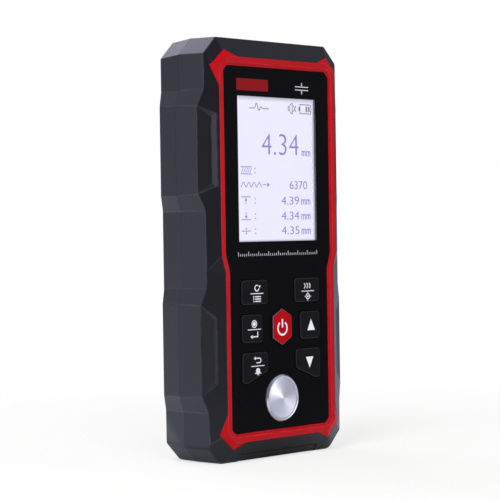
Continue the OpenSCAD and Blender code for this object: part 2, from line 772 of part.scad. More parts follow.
// Round buzzer on the back of the board
module buzzer() color([0.12, 0.12, 0.13]) difference() {
    rod(buzzer_x, buzzer_z, buzzer_r, pcb_back_y, buzzer_y);
    rod(buzzer_x, buzzer_z, buzzer_hole_r, buzzer_y - buzzer_hole_d, buzzer_y + over);
}

// Screws that hold the board to the deck
module board_screws() color([0.6, 0.6, 0.62]) both_sides() for (s = boss_spots) {
    rod(s[0], s[1], board_screw_r, pcb_y - board_screw_l + screw_tip_gap, pcb_back_y + eps);
    rod(s[0], s[1], board_screw_head_r, pcb_back_y, pcb_back_y + board_screw_head_h);
}

// Screws that close the case, at the foot of their wells
module case_screws() color([0.5, 0.5, 0.52]) both_sides() for (s = screw_spots) {
    rod(s[0], s[1], screw_r, screw_seat_y - screw_l, screw_seat_y + eps);
    rod(s[0], s[1], screw_head_r, screw_seat_y, screw_seat_y + screw_head_h);
}

// A probe socket: collar, flange and sleeve round a blind bore
module probe_socket(side) color([0.82, 0.82, 0.84]) translate([side * socket_pitch / 2, socket_y, 0])
    difference() {
        union() {
            translate([0, 0, socket_top_z - socket_l]) cylinder(r = socket_r, h = socket_l);
            translate([0, 0, pocket_z]) cylinder(r = socket_flange_r, h = socket_flange_h);
        }
        translate([0, 0, socket_top_z - socket_bore_l]) cylinder(r = socket_bore_r, h = socket_bore_l + over);
        translate([0, 0, socket_top_z - socket_l - over])
            cylinder(r = socket_bore_r - socket_step, h = socket_l);
    }

module probe_socket_left() probe_socket(-1);
module probe_socket_right() probe_socket(1);

// Nuts that clamp the sockets from inside
module socket_nuts() color([0.7, 0.7, 0.72]) for (x = [-1, 1] * socket_pitch / 2)
    translate([x, socket_y, pocket_z - pocket_floor_t - nut_h]) difference() {
        cylinder(r = nut_r, h = nut_h, $fn = 6);
        translate([0, 0, -over]) cylinder(r = socket_r + fit / 2, h = nut_h + 2 * over);
    }

// Contacts with their insulators in the lower end of the sockets
module socket_contacts() color([0.85, 0.8, 0.6]) for (x = [-1, 1] * socket_pitch / 2)
    translate([x, socket_y, socket_top_z - socket_l]) {
        cylinder(r = socket_bore_r - socket_step - fit / 2, h = socket_l - socket_bore_l);
        translate([0, 0, -pin_l]) cylinder(r = pin_r, h = pin_l + eps);
    }

// A dry cell standing along Z, with its nub up or down
module cell(x, nub_up) {
    low = bay_z + plate_t + fit + (nub_up ? spring_l : 0);
    can_z = nub_up ? low : low + cell_nub_h;
    nub_z = nub_up ? low + cell_l - cell_nub_h : low;
    translate([x, cell_y, can_z]) cylinder(r = cell_r, h = cell_l - cell_nub_h);
    translate([x, cell_y, nub_z - (nub_up ? eps : 0)]) cylinder(r = cell_nub_r, h = cell_nub_h + eps);
}

module battery_cell_left() color([0.2, 0.35, 0.3]) cell(-cell_pitch, true);
module battery_cell_middle() color([0.2, 0.35, 0.3]) cell(0, false);
module battery_cell_right() color([0.2, 0.35, 0.3]) cell(cell_pitch, true);

// A conical spring wound upwards from z = 0, swept along its helix
module coil(height) {
    n = wire_sides;
    rise = height - 2 * wire_r;
    rings = [for (i = [0 : coil_steps])
        let (t = i / coil_steps, a = 360 * coil_turns * t, r = coil_r + (coil_tip_r - coil_r) * t)
        [for (k = [0 : n - 1]) let (b = 360 * k / n, d = r + wire_r * cos(b))
            [d * cos(a), d * sin(a), wire_r + rise * t + wire_r * sin(b)]]];
    tube = [for (i = [0 : coil_steps - 1]) for (k = [0 : n - 1])
        let (m = (k + 1) % n) [i * n + k, i * n + m, (i + 1) * n + m, (i + 1) * n + k]];
    ends = [[for (k = [n - 1 : -1 : 0]) k], [for (k = [0 : n - 1]) coil_steps * n + k]];
    polyhedron([for (r = rings) for (p = r) p], concat(tube, ends));
}

// Contact plate in the bay, lower or upper end
module contact_plate(x, z)
    span([x - plate_hw, cell_y - plate_front, z], [x + plate_hw, cell_y + plate_back, z + plate_t]);

// Springs with their plates at the flat ends of the cells
module battery_springs() color([0.75, 0.75, 0.7]) {
    for (x = [-cell_pitch, cell_pitch]) {
        contact_plate(x, bay_z);
        translate([x, cell_y, bay_z + plate_t - coil_sink]) coil(spring_l + coil_sink);
    }
    contact_plate(0, bay_top_z - plate_t);
    translate([0, cell_y, bay_top_z - plate_t + coil_sink]) mirror([0, 0, 1]) coil(spring_l + coil_sink);
}

// Flat plates at the nubs of the cells
module battery_plates() color([0.75, 0.75, 0.7]) {
    contact_plate(0, bay_z);
    for (x = [-cell_pitch, cell_pitch]) contact_plate(x, bay_top_z - plate_t);
}

// Battery door: back plate, sloping foot and bottom with the lip at the front, running on side tongues
module battery_door() color([0.12, 0.12, 0.13]) {
    inner_foot_y = rear_edge_y - door_t * door_run + rear_slope * (lip_h - lip_lift);
    lip_y = edge_y + lip_set;
    profile = [[back_d, door_top_z], [back_d, rear_bevel_w], [rear_edge_y + rear_slope * lip_lift, lip_lift],
        [lip_y - lip_slope * lip_lift, lip_lift], [lip_y - lip_slope * lip_h, lip_h], [inner_foot_y, lip_h],
        [door_y, door_knee_z], [door_y, door_top_z]];
    difference() {
        union() {
            translate([-door_hw, 0, 0]) rotate([90, 0, 90]) linear_extrude(2 * door_hw) polygon(profile);
            both_sides() span([door_hw - over, tongue_y - tongue_t, tongue_z],
                [door_hw + tongue_w, tongue_y, door_top_z]);
        }
        for (i = [0 : ridge_count - 1]) let (z = door_top_z - ridge_drop + ridge_pitch * i)
            span([-ridge_hw, back_d - ridge_d, z], [ridge_hw, back_d + over, z + ridge_w]);
    }
}

front_shell();
rear_shell();
front_frame();
front_panel();
display_window();
display_glass();
display_backlight();
display_ribbon();
key_menu();
key_enter();
key_back();
key_calibrate();
key_up();
key_down();
key_power();
keypad_mat();
calibration_block();
main_board();
key_switches();
board_chips();
shield_can();
buzzer();
board_screws();
case_screws();
probe_socket_left();
probe_socket_right();
socket_nuts();
socket_contacts();
battery_cell_left();
battery_cell_middle();
battery_cell_right();
battery_springs();
battery_plates();
battery_door();
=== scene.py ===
import math

import bmesh
import bpy
from mathutils import Matrix, Vector


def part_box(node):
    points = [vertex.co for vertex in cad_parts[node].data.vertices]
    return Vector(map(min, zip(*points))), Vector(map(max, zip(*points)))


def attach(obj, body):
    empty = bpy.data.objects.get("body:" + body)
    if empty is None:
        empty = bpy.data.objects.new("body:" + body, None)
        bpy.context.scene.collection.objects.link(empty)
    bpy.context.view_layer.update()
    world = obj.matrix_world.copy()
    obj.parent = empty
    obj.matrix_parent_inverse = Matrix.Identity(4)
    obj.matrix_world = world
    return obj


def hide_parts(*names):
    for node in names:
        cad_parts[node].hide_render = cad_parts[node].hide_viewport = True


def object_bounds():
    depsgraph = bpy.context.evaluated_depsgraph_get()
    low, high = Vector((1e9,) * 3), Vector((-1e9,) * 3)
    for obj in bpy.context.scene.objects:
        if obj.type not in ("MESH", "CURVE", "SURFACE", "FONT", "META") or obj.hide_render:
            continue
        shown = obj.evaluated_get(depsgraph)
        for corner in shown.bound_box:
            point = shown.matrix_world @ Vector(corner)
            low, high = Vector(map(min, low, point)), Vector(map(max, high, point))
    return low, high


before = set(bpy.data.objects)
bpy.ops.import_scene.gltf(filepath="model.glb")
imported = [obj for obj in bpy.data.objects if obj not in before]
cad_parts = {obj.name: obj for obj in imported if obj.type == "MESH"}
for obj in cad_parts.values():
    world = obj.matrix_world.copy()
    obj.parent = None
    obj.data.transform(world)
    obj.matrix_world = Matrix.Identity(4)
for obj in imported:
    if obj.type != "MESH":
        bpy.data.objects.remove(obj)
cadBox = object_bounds()
mm = 0.001
touch = 0.01 * mm  # nearer than this counts as lying on a plane
squareOn = 0.99  # from this share of its normal along Y, a face counts as square to the front


# Selection and edit helpers
def clearSelection():
    if bpy.context.object and bpy.context.object.mode != "OBJECT":
        bpy.ops.object.mode_set(mode="OBJECT")
    bpy.ops.object.select_all(action="DESELECT")


def pick(piece):
    clearSelection()
    piece.select_set(True)
    bpy.context.view_layer.objects.active = piece


def editPiece(piece, mode="EDGE"):
    pick(piece)
    bpy.ops.object.mode_set(mode="EDIT")
    bpy.ops.mesh.select_mode(type=mode)
    bpy.ops.mesh.select_all(action="DESELECT")


def selectAll():
    bpy.ops.mesh.select_all(action="SELECT")


def editWhole(piece, mode="VERT"):
    editPiece(piece, mode)
    selectAll()


def leaveEdit():
    bpy.ops.object.mode_set(mode="OBJECT")


def applyPlace():
    bpy.ops.object.transform_apply(location=True, rotation=True, scale=True)


def newObject(name, mesh):
    piece = bpy.data.objects.new(name, mesh)
    bpy.context.scene.collection.objects.link(piece)
    return piece


def selectParts(piece, mode, wanted):
    editPiece(piece, mode)
    mesh = bmesh.from_edit_mesh(piece.data)
    for part in mesh.edges if mode == "EDGE" else mesh.faces:
        if wanted(part):
            part.select_set(True)
    mesh.select_flush_mode()
    bmesh.update_edit_mesh(piece.data)


def selectEdges(piece, wanted, fromAngle):
    least = math.radians(fromAngle)
    selectParts(piece, "EDGE", lambda edge: (
        len(edge.link_faces) == 2 and least < edge.calc_face_angle(0) < math.pi and wanted(edge)))


def selectFaces(piece, wanted):
    selectParts(piece, "FACE", wanted)


def onPlane(edge, y):
    return all(abs(vertex.co.y - y) < touch for vertex in edge.verts)


def facesFront(face):
    return face.normal.y < -squareOn


def addMaterials(piece, *materials):
    for material in materials:
        piece.data.materials.append(material)


def paintFaces(piece, wanted, slot):
    selectFaces(piece, wanted)
    piece.active_material_index = slot
    bpy.ops.object.material_slot_assign()
    leaveEdit()


def applyModifier(piece, kind, **settings):
    pick(piece)
    modifier = piece.modifiers.new(kind.title(), kind)
    for key, value in settings.items():
        setattr(modifier, key, value)
    bpy.ops.object.modifier_apply(modifier=modifier.name)


# Broad flat faces stay crisp, and the narrow rounded strips between them run smoothly into them
smoothLook = {"angle": 38, "crease": 0.3, "broad": 6 * mm * mm, "broadOnRound": 60 * mm * mm}


def smoothFacets(piece, broad=smoothLook["broad"]):
    pick(piece)
    bpy.ops.object.shade_smooth_by_angle(angle=math.radians(smoothLook["angle"]))
    selectEdges(piece, lambda edge: all(face.calc_area() > broad for face in edge.link_faces), smoothLook["crease"])
    bpy.ops.mesh.mark_sharp()
    leaveEdit()
    applyModifier(piece, "WEIGHTED_NORMAL", mode="FACE_AREA", keep_sharp=True, use_face_influence=True)


# Copies of CAD solids, with their triangles joined into whole faces
cleanLook = {"weld": 0.002 * mm, "flat": 0.4, "sliver": 0.003 * mm}


def copyNode(node, name):
    piece = newObject(name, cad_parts[node].data.copy())
    piece.data.materials.clear()
    pick(piece)
    bpy.ops.mesh.customdata_custom_splitnormals_clear()
    editWhole(piece)
    bpy.ops.mesh.remove_doubles(threshold=cleanLook["weld"])
    bpy.ops.mesh.dissolve_limited(angle_limit=math.radians(cleanLook["flat"]))
    leaveEdit()
    return piece


# A rounding is set by its width, the least angle of the edges it takes, its segments and its material slot
def softenEdges(piece, wanted, width, fromAngle, segments=2, slot=1):
    selectEdges(piece, wanted, fromAngle)
    bpy.ops.mesh.bevel(offset=width, segments=segments, affect="EDGES", clamp_overlap=False, material=slot,
                       face_strength_mode="ALL")
    selectAll()
    bpy.ops.mesh.dissolve_degenerate(threshold=cleanLook["sliver"])
    leaveEdit()


def finishPiece(piece, body, slot, *nodes):
    clearSelection()
    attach(piece, body)
    if nodes:
        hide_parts(*nodes)
    return piece


# Shader helpers
def srgb(red, green, blue):
    def linear(value):
        share = value / 255
        return share / 12.92 if share <= 0.04045 else ((share + 0.055) / 1.055) ** 2.4
    return (linear(red), linear(green), linear(blue), 1)


def setInputs(node, values):
    for key, value in values.items():
        node.inputs[key].default_value = value


def addNode(tree, kind, values=None, **settings):
    made = tree.nodes.new("ShaderNode" + kind)
    for key, value in settings.items():
        setattr(made, key, value)
    setInputs(made, values or {})
    return made


def newGroup(name, inputs, outputs):
    group = bpy.data.node_groups.new(name, "ShaderNodeTree")
    kinds = {float: "NodeSocketFloat", tuple: "NodeSocketColor"}
    for label, value in inputs.items():
        socket = group.interface.new_socket(name=label, in_out="INPUT", socket_type=kinds[type(value)])
        socket.default_value = value
    for label in outputs:
        kind = "NodeSocketColor" if label == "Colour" else "NodeSocketFloat"
        group.interface.new_socket(name=label, in_out="OUTPUT", socket_type=kind)
    return group, group.nodes.new("NodeGroupInput"), group.nodes.new("NodeGroupOutput")


def feed(tree, socket, value):
    if isinstance(value, (int, float, tuple)):
        socket.default_value = value
    else:
        tree.links.new(value, socket)


def mathNode(tree, operation, first, second):
    made = addNode(tree, "Math", operation=operation)
    for socket, value in zip(made.inputs, (first, second)):
        feed(tree, socket, value)
    return made.outputs[0]


def mixColours(tree, factor, first, second):
    made = addNode(tree, "Mix", data_type="RGBA")
    for index, value in ((0, factor), (6, first), (7, second)):
        feed(tree, made.inputs[index], value)
    return made.outputs[2]


# Turns a range of one value, from start to end, into a range of another, from low to high
def ramp(tree, value, start, end, low=0, high=1, kind="SMOOTHSTEP"):
    made = addNode(tree, "MapRange", {"From Min": start, "From Max": end, "To Min": low, "To Max": high},
                   interpolation_type=kind)
    tree.links.new(value, made.inputs["Value"])
    return made.outputs["Result"]


def objectPlace(tree):
    return addNode(tree, "TexCoord").outputs["Object"]


def split(tree, vector):
    made = addNode(tree, "SeparateXYZ")
    tree.links.new(vector, made.inputs[0])
    return made.outputs


# Fine moulded grain: cloudy colour, uneven gloss and a small height
grainLook = {"fine": {"Detail": 3, "Roughness": 0.6}, "fineShare": 0.3,
             "broad": {"Scale": 60, "Detail": 4, "Roughness": 0.55}, "broadShare": 0.7}


def makeMouldGrain():
    group, given, out = newGroup(
        "mouldGrain",
        {"Colour": (0.1, 0.1, 0.1, 1), "Cloud": (0.12, 0.12, 0.12, 1), "Grain": 2600.0, "Gloss": 0.5, "Spread": 0.1},
        ["Colour", "Roughness", "Height"])
    place = objectPlace(group)
    fine = addNode(group, "TexNoise", grainLook["fine"])
    broad = addNode(group, "TexNoise", grainLook["broad"])
    for noise in (fine, broad):
        group.links.new(place, noise.inputs["Vector"])
    group.links.new(given.outputs["Grain"], fine.inputs["Scale"])
    both = mathNode(group, "ADD", mathNode(group, "MULTIPLY", broad.outputs["Fac"], grainLook["broadShare"]),
                    mathNode(group, "MULTIPLY", fine.outputs["Fac"], grainLook["fineShare"]))
    group.links.new(mixColours(group, both, given.outputs["Colour"], given.outputs["Cloud"]), out.inputs["Colour"])
    swing = mathNode(group, "MULTIPLY", mathNode(group, "SUBTRACT", both, 0.5), given.outputs["Spread"])
    group.links.new(mathNode(group, "ADD", given.outputs["Gloss"], swing), out.inputs["Roughness"])
    group.links.new(fine.outputs["Fac"], out.inputs["Height"])
    return group


# Patches: a broken-up mask that turns one colour into a second one. On screws, springs, tin, brass and cells the
# second colour is wear; on the edge materials of the case, door, trim and keys it is a lighter painted highlight
# along the rounded edges, broken up like wear
wearAndSheenLook = {"noise": {"Detail": 5, "Roughness": 0.65}, "ramp": (0.35, 0.65)}


def makeWearAndSheen():
    group, given, out = newGroup(
        "wearAndSheen",
        {"Colour": (0.1, 0.1, 0.1, 1), "Worn": (0.3, 0.3, 0.3, 1), "Scale": 240.0, "Amount": 0.5},
        ["Colour"])
    noise = addNode(group, "TexNoise", wearAndSheenLook["noise"])
    group.links.new(objectPlace(group), noise.inputs["Vector"])
    group.links.new(given.outputs["Scale"], noise.inputs["Scale"])
    patchy = ramp(group, noise.outputs["Fac"], *wearAndSheenLook["ramp"], kind="LINEAR")
    mask = mathNode(group, "MULTIPLY", patchy, given.outputs["Amount"])
    group.links.new(mixColours(group, mask, given.outputs["Colour"], given.outputs["Worn"]), out.inputs["Colour"])
    return group


# Concentric turning marks round an axis along Y
def makeTurning():
    group, given, out = newGroup("turning", {"Across": 0.0, "Height": 0.0, "Pitch": 0.0002}, ["Lines"])
    parts = split(group, objectPlace(group))
    across = mathNode(group, "SUBTRACT", parts["X"], given.outputs["Across"])
    upward = mathNode(group, "SUBTRACT", parts["Z"], given.outputs["Height"])
    radius = mathNode(group, "SQRT", mathNode(group, "ADD", mathNode(group, "MULTIPLY", across, across),
                                              mathNode(group, "MULTIPLY", upward, upward)), 0)
    steps = mathNode(group, "DIVIDE", radius, given.outputs["Pitch"])
    lines = addNode(group, "TexNoise", {"Scale": 1, "Detail": 3, "Roughness": 0.7}, noise_dimensions="1D")
    group.links.new(steps, lines.inputs["W"])
    group.links.new(lines.outputs["Fac"], out.inputs["Lines"])
    return group


mouldGrain = makeMouldGrain()
wearAndSheen = makeWearAndSheen()
turning = makeTurning()


def newMaterial(name):
    material = bpy.data.materials.new(name)
    material.use_nodes = True
    return material, material.node_tree, material.node_tree.nodes["Principled BSDF"]


def useGroup(tree, group, **values):
    made = addNode(tree, "Group", node_tree=group)
    for key, value in values.items():
        feed(tree, made.inputs[key], value)
    return made


def addBump(tree, shader, height, strength, distance):
    bump = addNode(tree, "Bump", {"Strength": strength, "Distance": distance})
    tree.links.new(height, bump.inputs["Height"])
    tree.links.new(bump.outputs["Normal"], shader.inputs["Normal"])


def dress(tree, shader, colour, surface):
    tree.links.new(colour, shader.inputs["Base Color"])
    tree.links.new(surface.outputs["Roughness"], shader.inputs["Roughness"])


# Grained surface, optionally with patches of a second colour: wear, and on the edge materials a painted highlight;
# its colours are levels out of 255
reliefDepth = {"plastic": 0.02 * mm, "metal": 0.01 * mm}


def makeSurface(name, colour, cloud, gloss, spread, grain, worn, amount, relief, depth):
    material, tree, shader = newMaterial(name)
    surface = useGroup(tree, mouldGrain, Colour=srgb(*colour), Cloud=srgb(*cloud), Grain=float(grain), Gloss=gloss,
                       Spread=spread)
    skin = surface.outputs["Colour"]
    if worn:
        skin = useGroup(tree, wearAndSheen, Colour=skin, Worn=srgb(*worn), Amount=amount).outputs["Colour"]
    dress(tree, shader, skin, surface)
    addBump(tree, shader, surface.outputs["Height"], relief, depth)
    return material, shader


def plastic(name, colour, cloud, gloss, spread=0.12, grain=2600, relief=0.25, specular=0.5, worn=None, amount=0.5):
    material, shader = makeSurface(name, colour, cloud, gloss, spread, grain, worn, amount, relief,
                                   reliefDepth["plastic"])
    setInputs(shader, {"Specular IOR Level": specular})
    return material


def metal(name, colour, cloud, gloss, spread=0.15, grain=1800, relief=0.15, worn=None, amount=0.4):
    material, shader = makeSurface(name, colour, cloud, gloss, spread, grain, worn, amount, relief,
                                   reliefDepth["metal"])
    setInputs(shader, {"Metallic": 1})
    return material


# Plain plastic and its edge material, from one dictionary; the edge material's lighter colour is a painted highlight
# on the rounded edges, broken up like wear
def plasticPair(plainName, edgeName, look):
    return (plastic(plainName, look["colour"], look["cloud"], look["gloss"], specular=look["specular"]),
            plastic(edgeName, look["colour"], look["cloud"], look["edgeGloss"], specular=look["specular"],
                    worn=look["edge"], amount=look["wear"]))


# The camera stands where the photograph was taken
view = {"centre": (-0.4635, -0.4398, 0.0788), "azimuth": 46.483, "elevation": 0.685, "roll": -0.858, "lens": 132.08,
        "sensor": 36}


def placeCamera():
    turn, rise = math.radians(view["azimuth"]), math.radians(view["elevation"])
    roll = math.radians(view["roll"])
    back = Vector((-math.sin(turn) * math.cos(rise), -math.cos(turn) * math.cos(rise), math.sin(rise)))
    level = (-back).cross(Vector((0, 0, 1))).normalized()
    square = level.cross(-back)
    right = math.cos(roll) * level + math.sin(roll) * square
    up = -math.sin(roll) * level + math.cos(roll) * square
    bpy.ops.object.camera_add()
    camera = bpy.context.object
    camera.name = "photoCamera"
    camera.data.lens = view["lens"]
    camera.data.sensor_width = view["sensor"]
    columns = Matrix((right, up, back)).transposed().to_4x4()
    camera.matrix_world = Matrix.Translation(Vector(view["centre"])) @ columns
    bpy.context.scene.camera = camera


# Surroundings: white to the camera, an even fill for rough surfaces, and for reflections a room that is dark
# in front, brighter above and on the left, with a pale card on the right
room = {"white": (1, 1, 1, 1), "cool": (0.8, 0.795, 1, 1), "fill": 0.35,
        "dim": (-0.5, -0.866, 0), "dimRamp": (0.75, 0.2, 0.0224, 0.28), "riseRamp": (-0.05, 0.5, 0.85, 2.3),
        "sideRamp": (0.2, -0.7, 0.65, 2.1), "card": (0.6, -0.75, 0.25), "cardRamp": (0.82, 0.97, 0, 0.33)}


def makeRoom():
    scene = bpy.context.scene
    scene.view_settings.view_transform = "Standard"
    scene.world = bpy.data.worlds.new("studioWorld")
    scene.world.use_nodes = True
    tree = scene.world.node_tree
    background = tree.nodes["Background"]
    paths = addNode(tree, "LightPath").outputs
    glossy = paths["Is Glossy Ray"]
    around = addNode(tree, "TexCoord").outputs["Generated"]
    facing = split(tree, around)

    def toward(direction):
        made = addNode(tree, "VectorMath", {1: direction}, operation="DOT_PRODUCT")
        tree.links.new(around, made.inputs[0])
        return made.outputs["Value"]

    behind = ramp(tree, toward(room["dim"]), *room["dimRamp"])
    above = ramp(tree, facing["Z"], *room["riseRamp"])
    beside = ramp(tree, facing["X"], *room["sideRamp"])
    card = ramp(tree, toward(Vector(room["card"]).normalized()), *room["cardRamp"])
    mirrored = glossy
    for share in (beside, behind, above):
        mirrored = mathNode(tree, "MULTIPLY", mirrored, share)
    mirrored = mathNode(tree, "ADD", mirrored, mathNode(tree, "MULTIPLY", glossy, card))
    plain = mathNode(tree, "MULTIPLY", room["fill"], mathNode(tree, "SUBTRACT", 1, glossy))
    seen = mathNode(tree, "MAXIMUM", paths["Is Camera Ray"], paths["Is Transmission Ray"])
    strength = mathNode(tree, "MAXIMUM", seen, mathNode(tree, "MAXIMUM", mirrored, plain))
    tree.links.new(strength, background.inputs["Strength"])
    tree.links.new(mixColours(tree, glossy, room["white"], room["cool"]), background.inputs["Color"])


# Floor: paper that keeps the shadow and fades to white, with its own painted level in reflections
floorLook = {"size": 8, "colour": (0.88, 0.885, 0.73, 1), "cloud": (0.92, 0.925, 0.765, 1), "gloss": 0.8,
             "whiteRamp": (0.06, 0.3, 0.68, 1), "mirror": 1.6, "cool": (0.73, 0.77, 1, 1),
             "frontRamp": (-0.12, 0.02, 0.25, 1), "clearRamp": (0.004, 0.075), "nearRamp": (0.14, 0.065, 1, 1.35)}


def makeFloor():
    clearSelection()
    bpy.ops.mesh.primitive_plane_add(size=floorLook["size"])
    floor = bpy.context.object
    floor.name = "studioFloor"
    material, tree, shader = newMaterial("floorPaper")
    surface = useGroup(tree, mouldGrain, Colour=floorLook["colour"], Cloud=floorLook["cloud"],
                       Gloss=floorLook["gloss"])
    dress(tree, shader, surface.outputs["Colour"], surface)
    paths = addNode(tree, "LightPath").outputs
    glossy = paths["Is Glossy Ray"]
    place = objectPlace(tree)
    away = addNode(tree, "VectorMath", operation="LENGTH")
    tree.links.new(place, away.inputs[0])
    away = away.outputs["Value"]
    # The reflected level is painted: darker towards the front, a painted shadow close round the case and a painted
    # brighter ring a little further out
    level = floorLook["mirror"]
    for value, key in ((split(tree, place)["Y"], "frontRamp"), (away, "clearRamp"), (away, "nearRamp")):
        level = mathNode(tree, "MULTIPLY", level, ramp(tree, value, *floorLook[key]))
    strength = addNode(tree, "Mix", {2: 1}, data_type="FLOAT")
    tree.links.new(glossy, strength.inputs[0])
    tree.links.new(level, strength.inputs[3])
    glow = addNode(tree, "Emission")
    tree.links.new(strength.outputs[0], glow.inputs["Strength"])
    tree.links.new(mixColours(tree, glossy, room["white"], floorLook["cool"]), glow.inputs["Color"])
    seen = mathNode(tree, "MAXIMUM", paths["Is Camera Ray"],
                    mathNode(tree, "MAXIMUM", glossy, paths["Is Transmission Ray"]))
    fade = ramp(tree, away, *floorLook["whiteRamp"], kind="LINEAR")
    blend = addNode(tree, "MixShader")
    for index, value in enumerate((mathNode(tree, "MULTIPLY", seen, fade), shader.outputs[0], glow.outputs[0])):
        tree.links.new(value, blend.inputs[index])
    tree.links.new(blend.outputs[0], tree.nodes["Material Output"].inputs[0])
    floor.data.materials.append(material)


# Lamps, aimed at the middle of the case: place, size, power, colour, and whether reflections show them
coolLamp, discLamp = room["cool"][:3], (0.96, 0.95, 1)
lampAim = Vector((0, 0, 0.07))
lamps = {"overhead": ((0.12, 0.86, 0.98), 0.55, 4.2, coolLamp, True),
         "leftBox": ((-1.2, 0.5, 0.12), 0.6, 1, coolLamp, True),
         "leftStrip": ((-0.7, 0.13, 0.16), 0.1, 0.5, coolLamp, True),
         "discKey": ((0.69, -1.31, 0.1), 0.4, 5, discLamp, True),
         "frontKey": ((-0.7, -1.15, 0.8), 0.5, 9.5, coolLamp, False),
         "cornerKey": ((-0.9, -0.3, 1.2), 0.5, 16, coolLamp, False)}


def placeLamps():
    for name, (place, size, power, colour, mirrored) in lamps.items():
        bpy.ops.object.light_add(type="AREA", location=place)
        lamp = bpy.context.object
        lamp.name = name
        lamp.data.size = size
        lamp.data.energy = power
        lamp.data.color = colour
        lamp.visible_glossy = mirrored
        lamp.rotation_euler = (lampAim - Vector(place)).to_track_quat("-Z", "Y").to_euler()


placeCamera()
makeRoom()
makeFloor()
placeLamps()
print("camera and studio placed")


# Flat marks, drawn in edit mode in the plane of the face and then given a film's thickness
markLook = {"film": 0.03 * mm, "sink": 0.01 * mm, "weld": 0.001 * mm, "line": 0.3}
upright = (math.pi / 2, 0, 0)


def startMark(name):
    piece = newObject(name, bpy.data.meshes.new(name))
    editPiece(piece, "FACE")
    return piece


def setApart():
    selectAll()
    bpy.ops.mesh.hide()


def shapeFlat(centre, wide, high, angle):
    bpy.ops.transform.resize(value=(wide, 1, high), center_override=centre)
    bpy.ops.transform.rotate(value=math.radians(angle), orient_axis="Y", center_override=centre)


def bar(x0, z0, x1, z1, width=None):
    setApart()
    centre = ((x0 + x1) / 2 * mm, 0, (z0 + z1) / 2 * mm)
    bpy.ops.mesh.primitive_plane_add(size=mm, location=centre, rotation=upright)
    angle = math.degrees(math.atan2(z1 - z0, x1 - x0))
    shapeFlat(centre, math.hypot(x1 - x0, z1 - z0), width or markLook["line"], angle)


def bars(x, z, *strokes):
    for x0, z0, x1, z1, *width in strokes:
        bar(x + x0, z + z0, x + x1, z + z1, *width)


def slab(x0, z0, x1, z1):
    bar(x0, (z0 + z1) / 2, x1, (z0 + z1) / 2, z1 - z0)


def patch(x, z, radius, corners, angle=0, stretch=1):
    setApart()
    centre = (x * mm, 0, z * mm)
    bpy.ops.mesh.primitive_circle_add(vertices=corners, radius=radius * mm, fill_type="NGON", location=centre,
                                      rotation=upright)
    shapeFlat(centre, stretch, 1, angle)


def arc(x, z, radius, width=None, start=0, end=360, corners=48):
    patch(x, z, radius, corners)
    bpy.ops.mesh.inset(thickness=(width or markLook["line"]) * mm)
    bpy.ops.mesh.delete(type="FACE")
    mesh = bmesh.from_edit_mesh(bpy.context.object.data)
    for face in mesh.faces:
        centre = face.calc_center_median()
        turn = math.degrees(math.atan2(centre.z - z * mm, centre.x - x * mm)) % 360
        face.select_set(not face.hide and not start <= turn <= end)
    bmesh.update_edit_mesh(bpy.context.object.data)
    bpy.ops.mesh.delete(type="FACE")


def outline(x0, z0, x1, z1, width=None):
    slab(x0, z0, x1, z1)
    bpy.ops.mesh.inset(thickness=(width or markLook["line"]) * mm)
    bpy.ops.mesh.delete(type="FACE")


def thicken(depth):
    bpy.ops.mesh.extrude_region_move(TRANSFORM_OT_translate={"value": (0, depth, 0)})
    selectAll()
    bpy.ops.mesh.normals_make_consistent(inside=False)
    leaveEdit()


# Closes a mark with its film at a face, and hands it to its body
def finishMark(piece, face, material, body, slot):
    bpy.ops.mesh.reveal()
    selectAll()
    bpy.ops.mesh.remove_doubles(threshold=cleanLook["weld"])  # strokes that touch end to end become one
    bpy.ops.transform.translate(value=(0, face + markLook["sink"], 0))
    thicken(-markLook["film"] - markLook["sink"])
    addMaterials(piece, material)
    return finishPiece(piece, body, slot)


# A number set between two corners of a face, as a closed mesh
def number(text, x0, z0, x1, z1, face, weight, name):
    clearSelection()
    bpy.ops.object.text_add()
    piece = bpy.context.object
    piece.name = name
    piece.data.body = text
    piece.data.size = 1
    piece.data.offset = weight
    bpy.ops.object.convert(target="MESH")
    corners = [vertex.co.copy() for vertex in piece.data.vertices]
    low = Vector([min(c[i] for c in corners) for i in range(3)])
    high = Vector([max(c[i] for c in corners) for i in range(3)])
    piece.scale = ((x1 - x0) * mm / (high.x - low.x), (z1 - z0) * mm / (high.y - low.y), 1)
    piece.rotation_euler = upright
    piece.location = (x0 * mm - low.x * piece.scale.x, face + markLook["sink"], z0 * mm - low.y * piece.scale.y)
    applyPlace()
    editWhole(piece, "FACE")
    bpy.ops.mesh.remove_doubles(threshold=markLook["weld"])
    thicken(-markLook["film"] - markLook["sink"])
    return piece


# Black case halves and battery door, with softened edges; the lighter edge colour on the roundings is a painted
# highlight, broken up like light wear
# The edge colour and its share are a painted highlight on the rounded edges; the low roundings keep the plain plastic
caseLook = {"colour": (17, 17, 20), "cloud": (21, 21, 24), "edge": (46, 46, 52), "wear": 0.8,
            "gloss": 0.4, "edgeGloss": 0.34, "specular": 0.38, "edgeRound": (0.28 * mm, 9),
            "seamRound": (0.05 * mm, 60, 1), "lowRound": (1.2 * mm, 9, 4, 0), "lowZone": 7 * mm,
            "doorSeat": 20.5 * mm, "core": 20 * mm, "outward": 0.3, "leastEdge": 0.8 * mm, "shortest": 0.7 * mm,
            "gripReach": 0.6 * mm, "gripDepth": 6 * mm, "sideTilt": 0.5}
doorLook = {"colour": (17, 17, 21), "cloud": (21, 21, 25), "edge": (44, 45, 50), "wear": 0.8,
            "gloss": 0.44, "edgeGloss": 0.4, "specular": 0.42, "arrowFoot": 32, "arrowWide": 6, "arrowDeep": 0.4 * mm}
casePlastic, caseEdge = plasticPair("casePlastic", "caseEdge", caseLook)
doorPlastic, doorEdge = plasticPair("doorPlastic", "doorEdge", doorLook)
bodyTop, seam = cadBox[1].z, 0


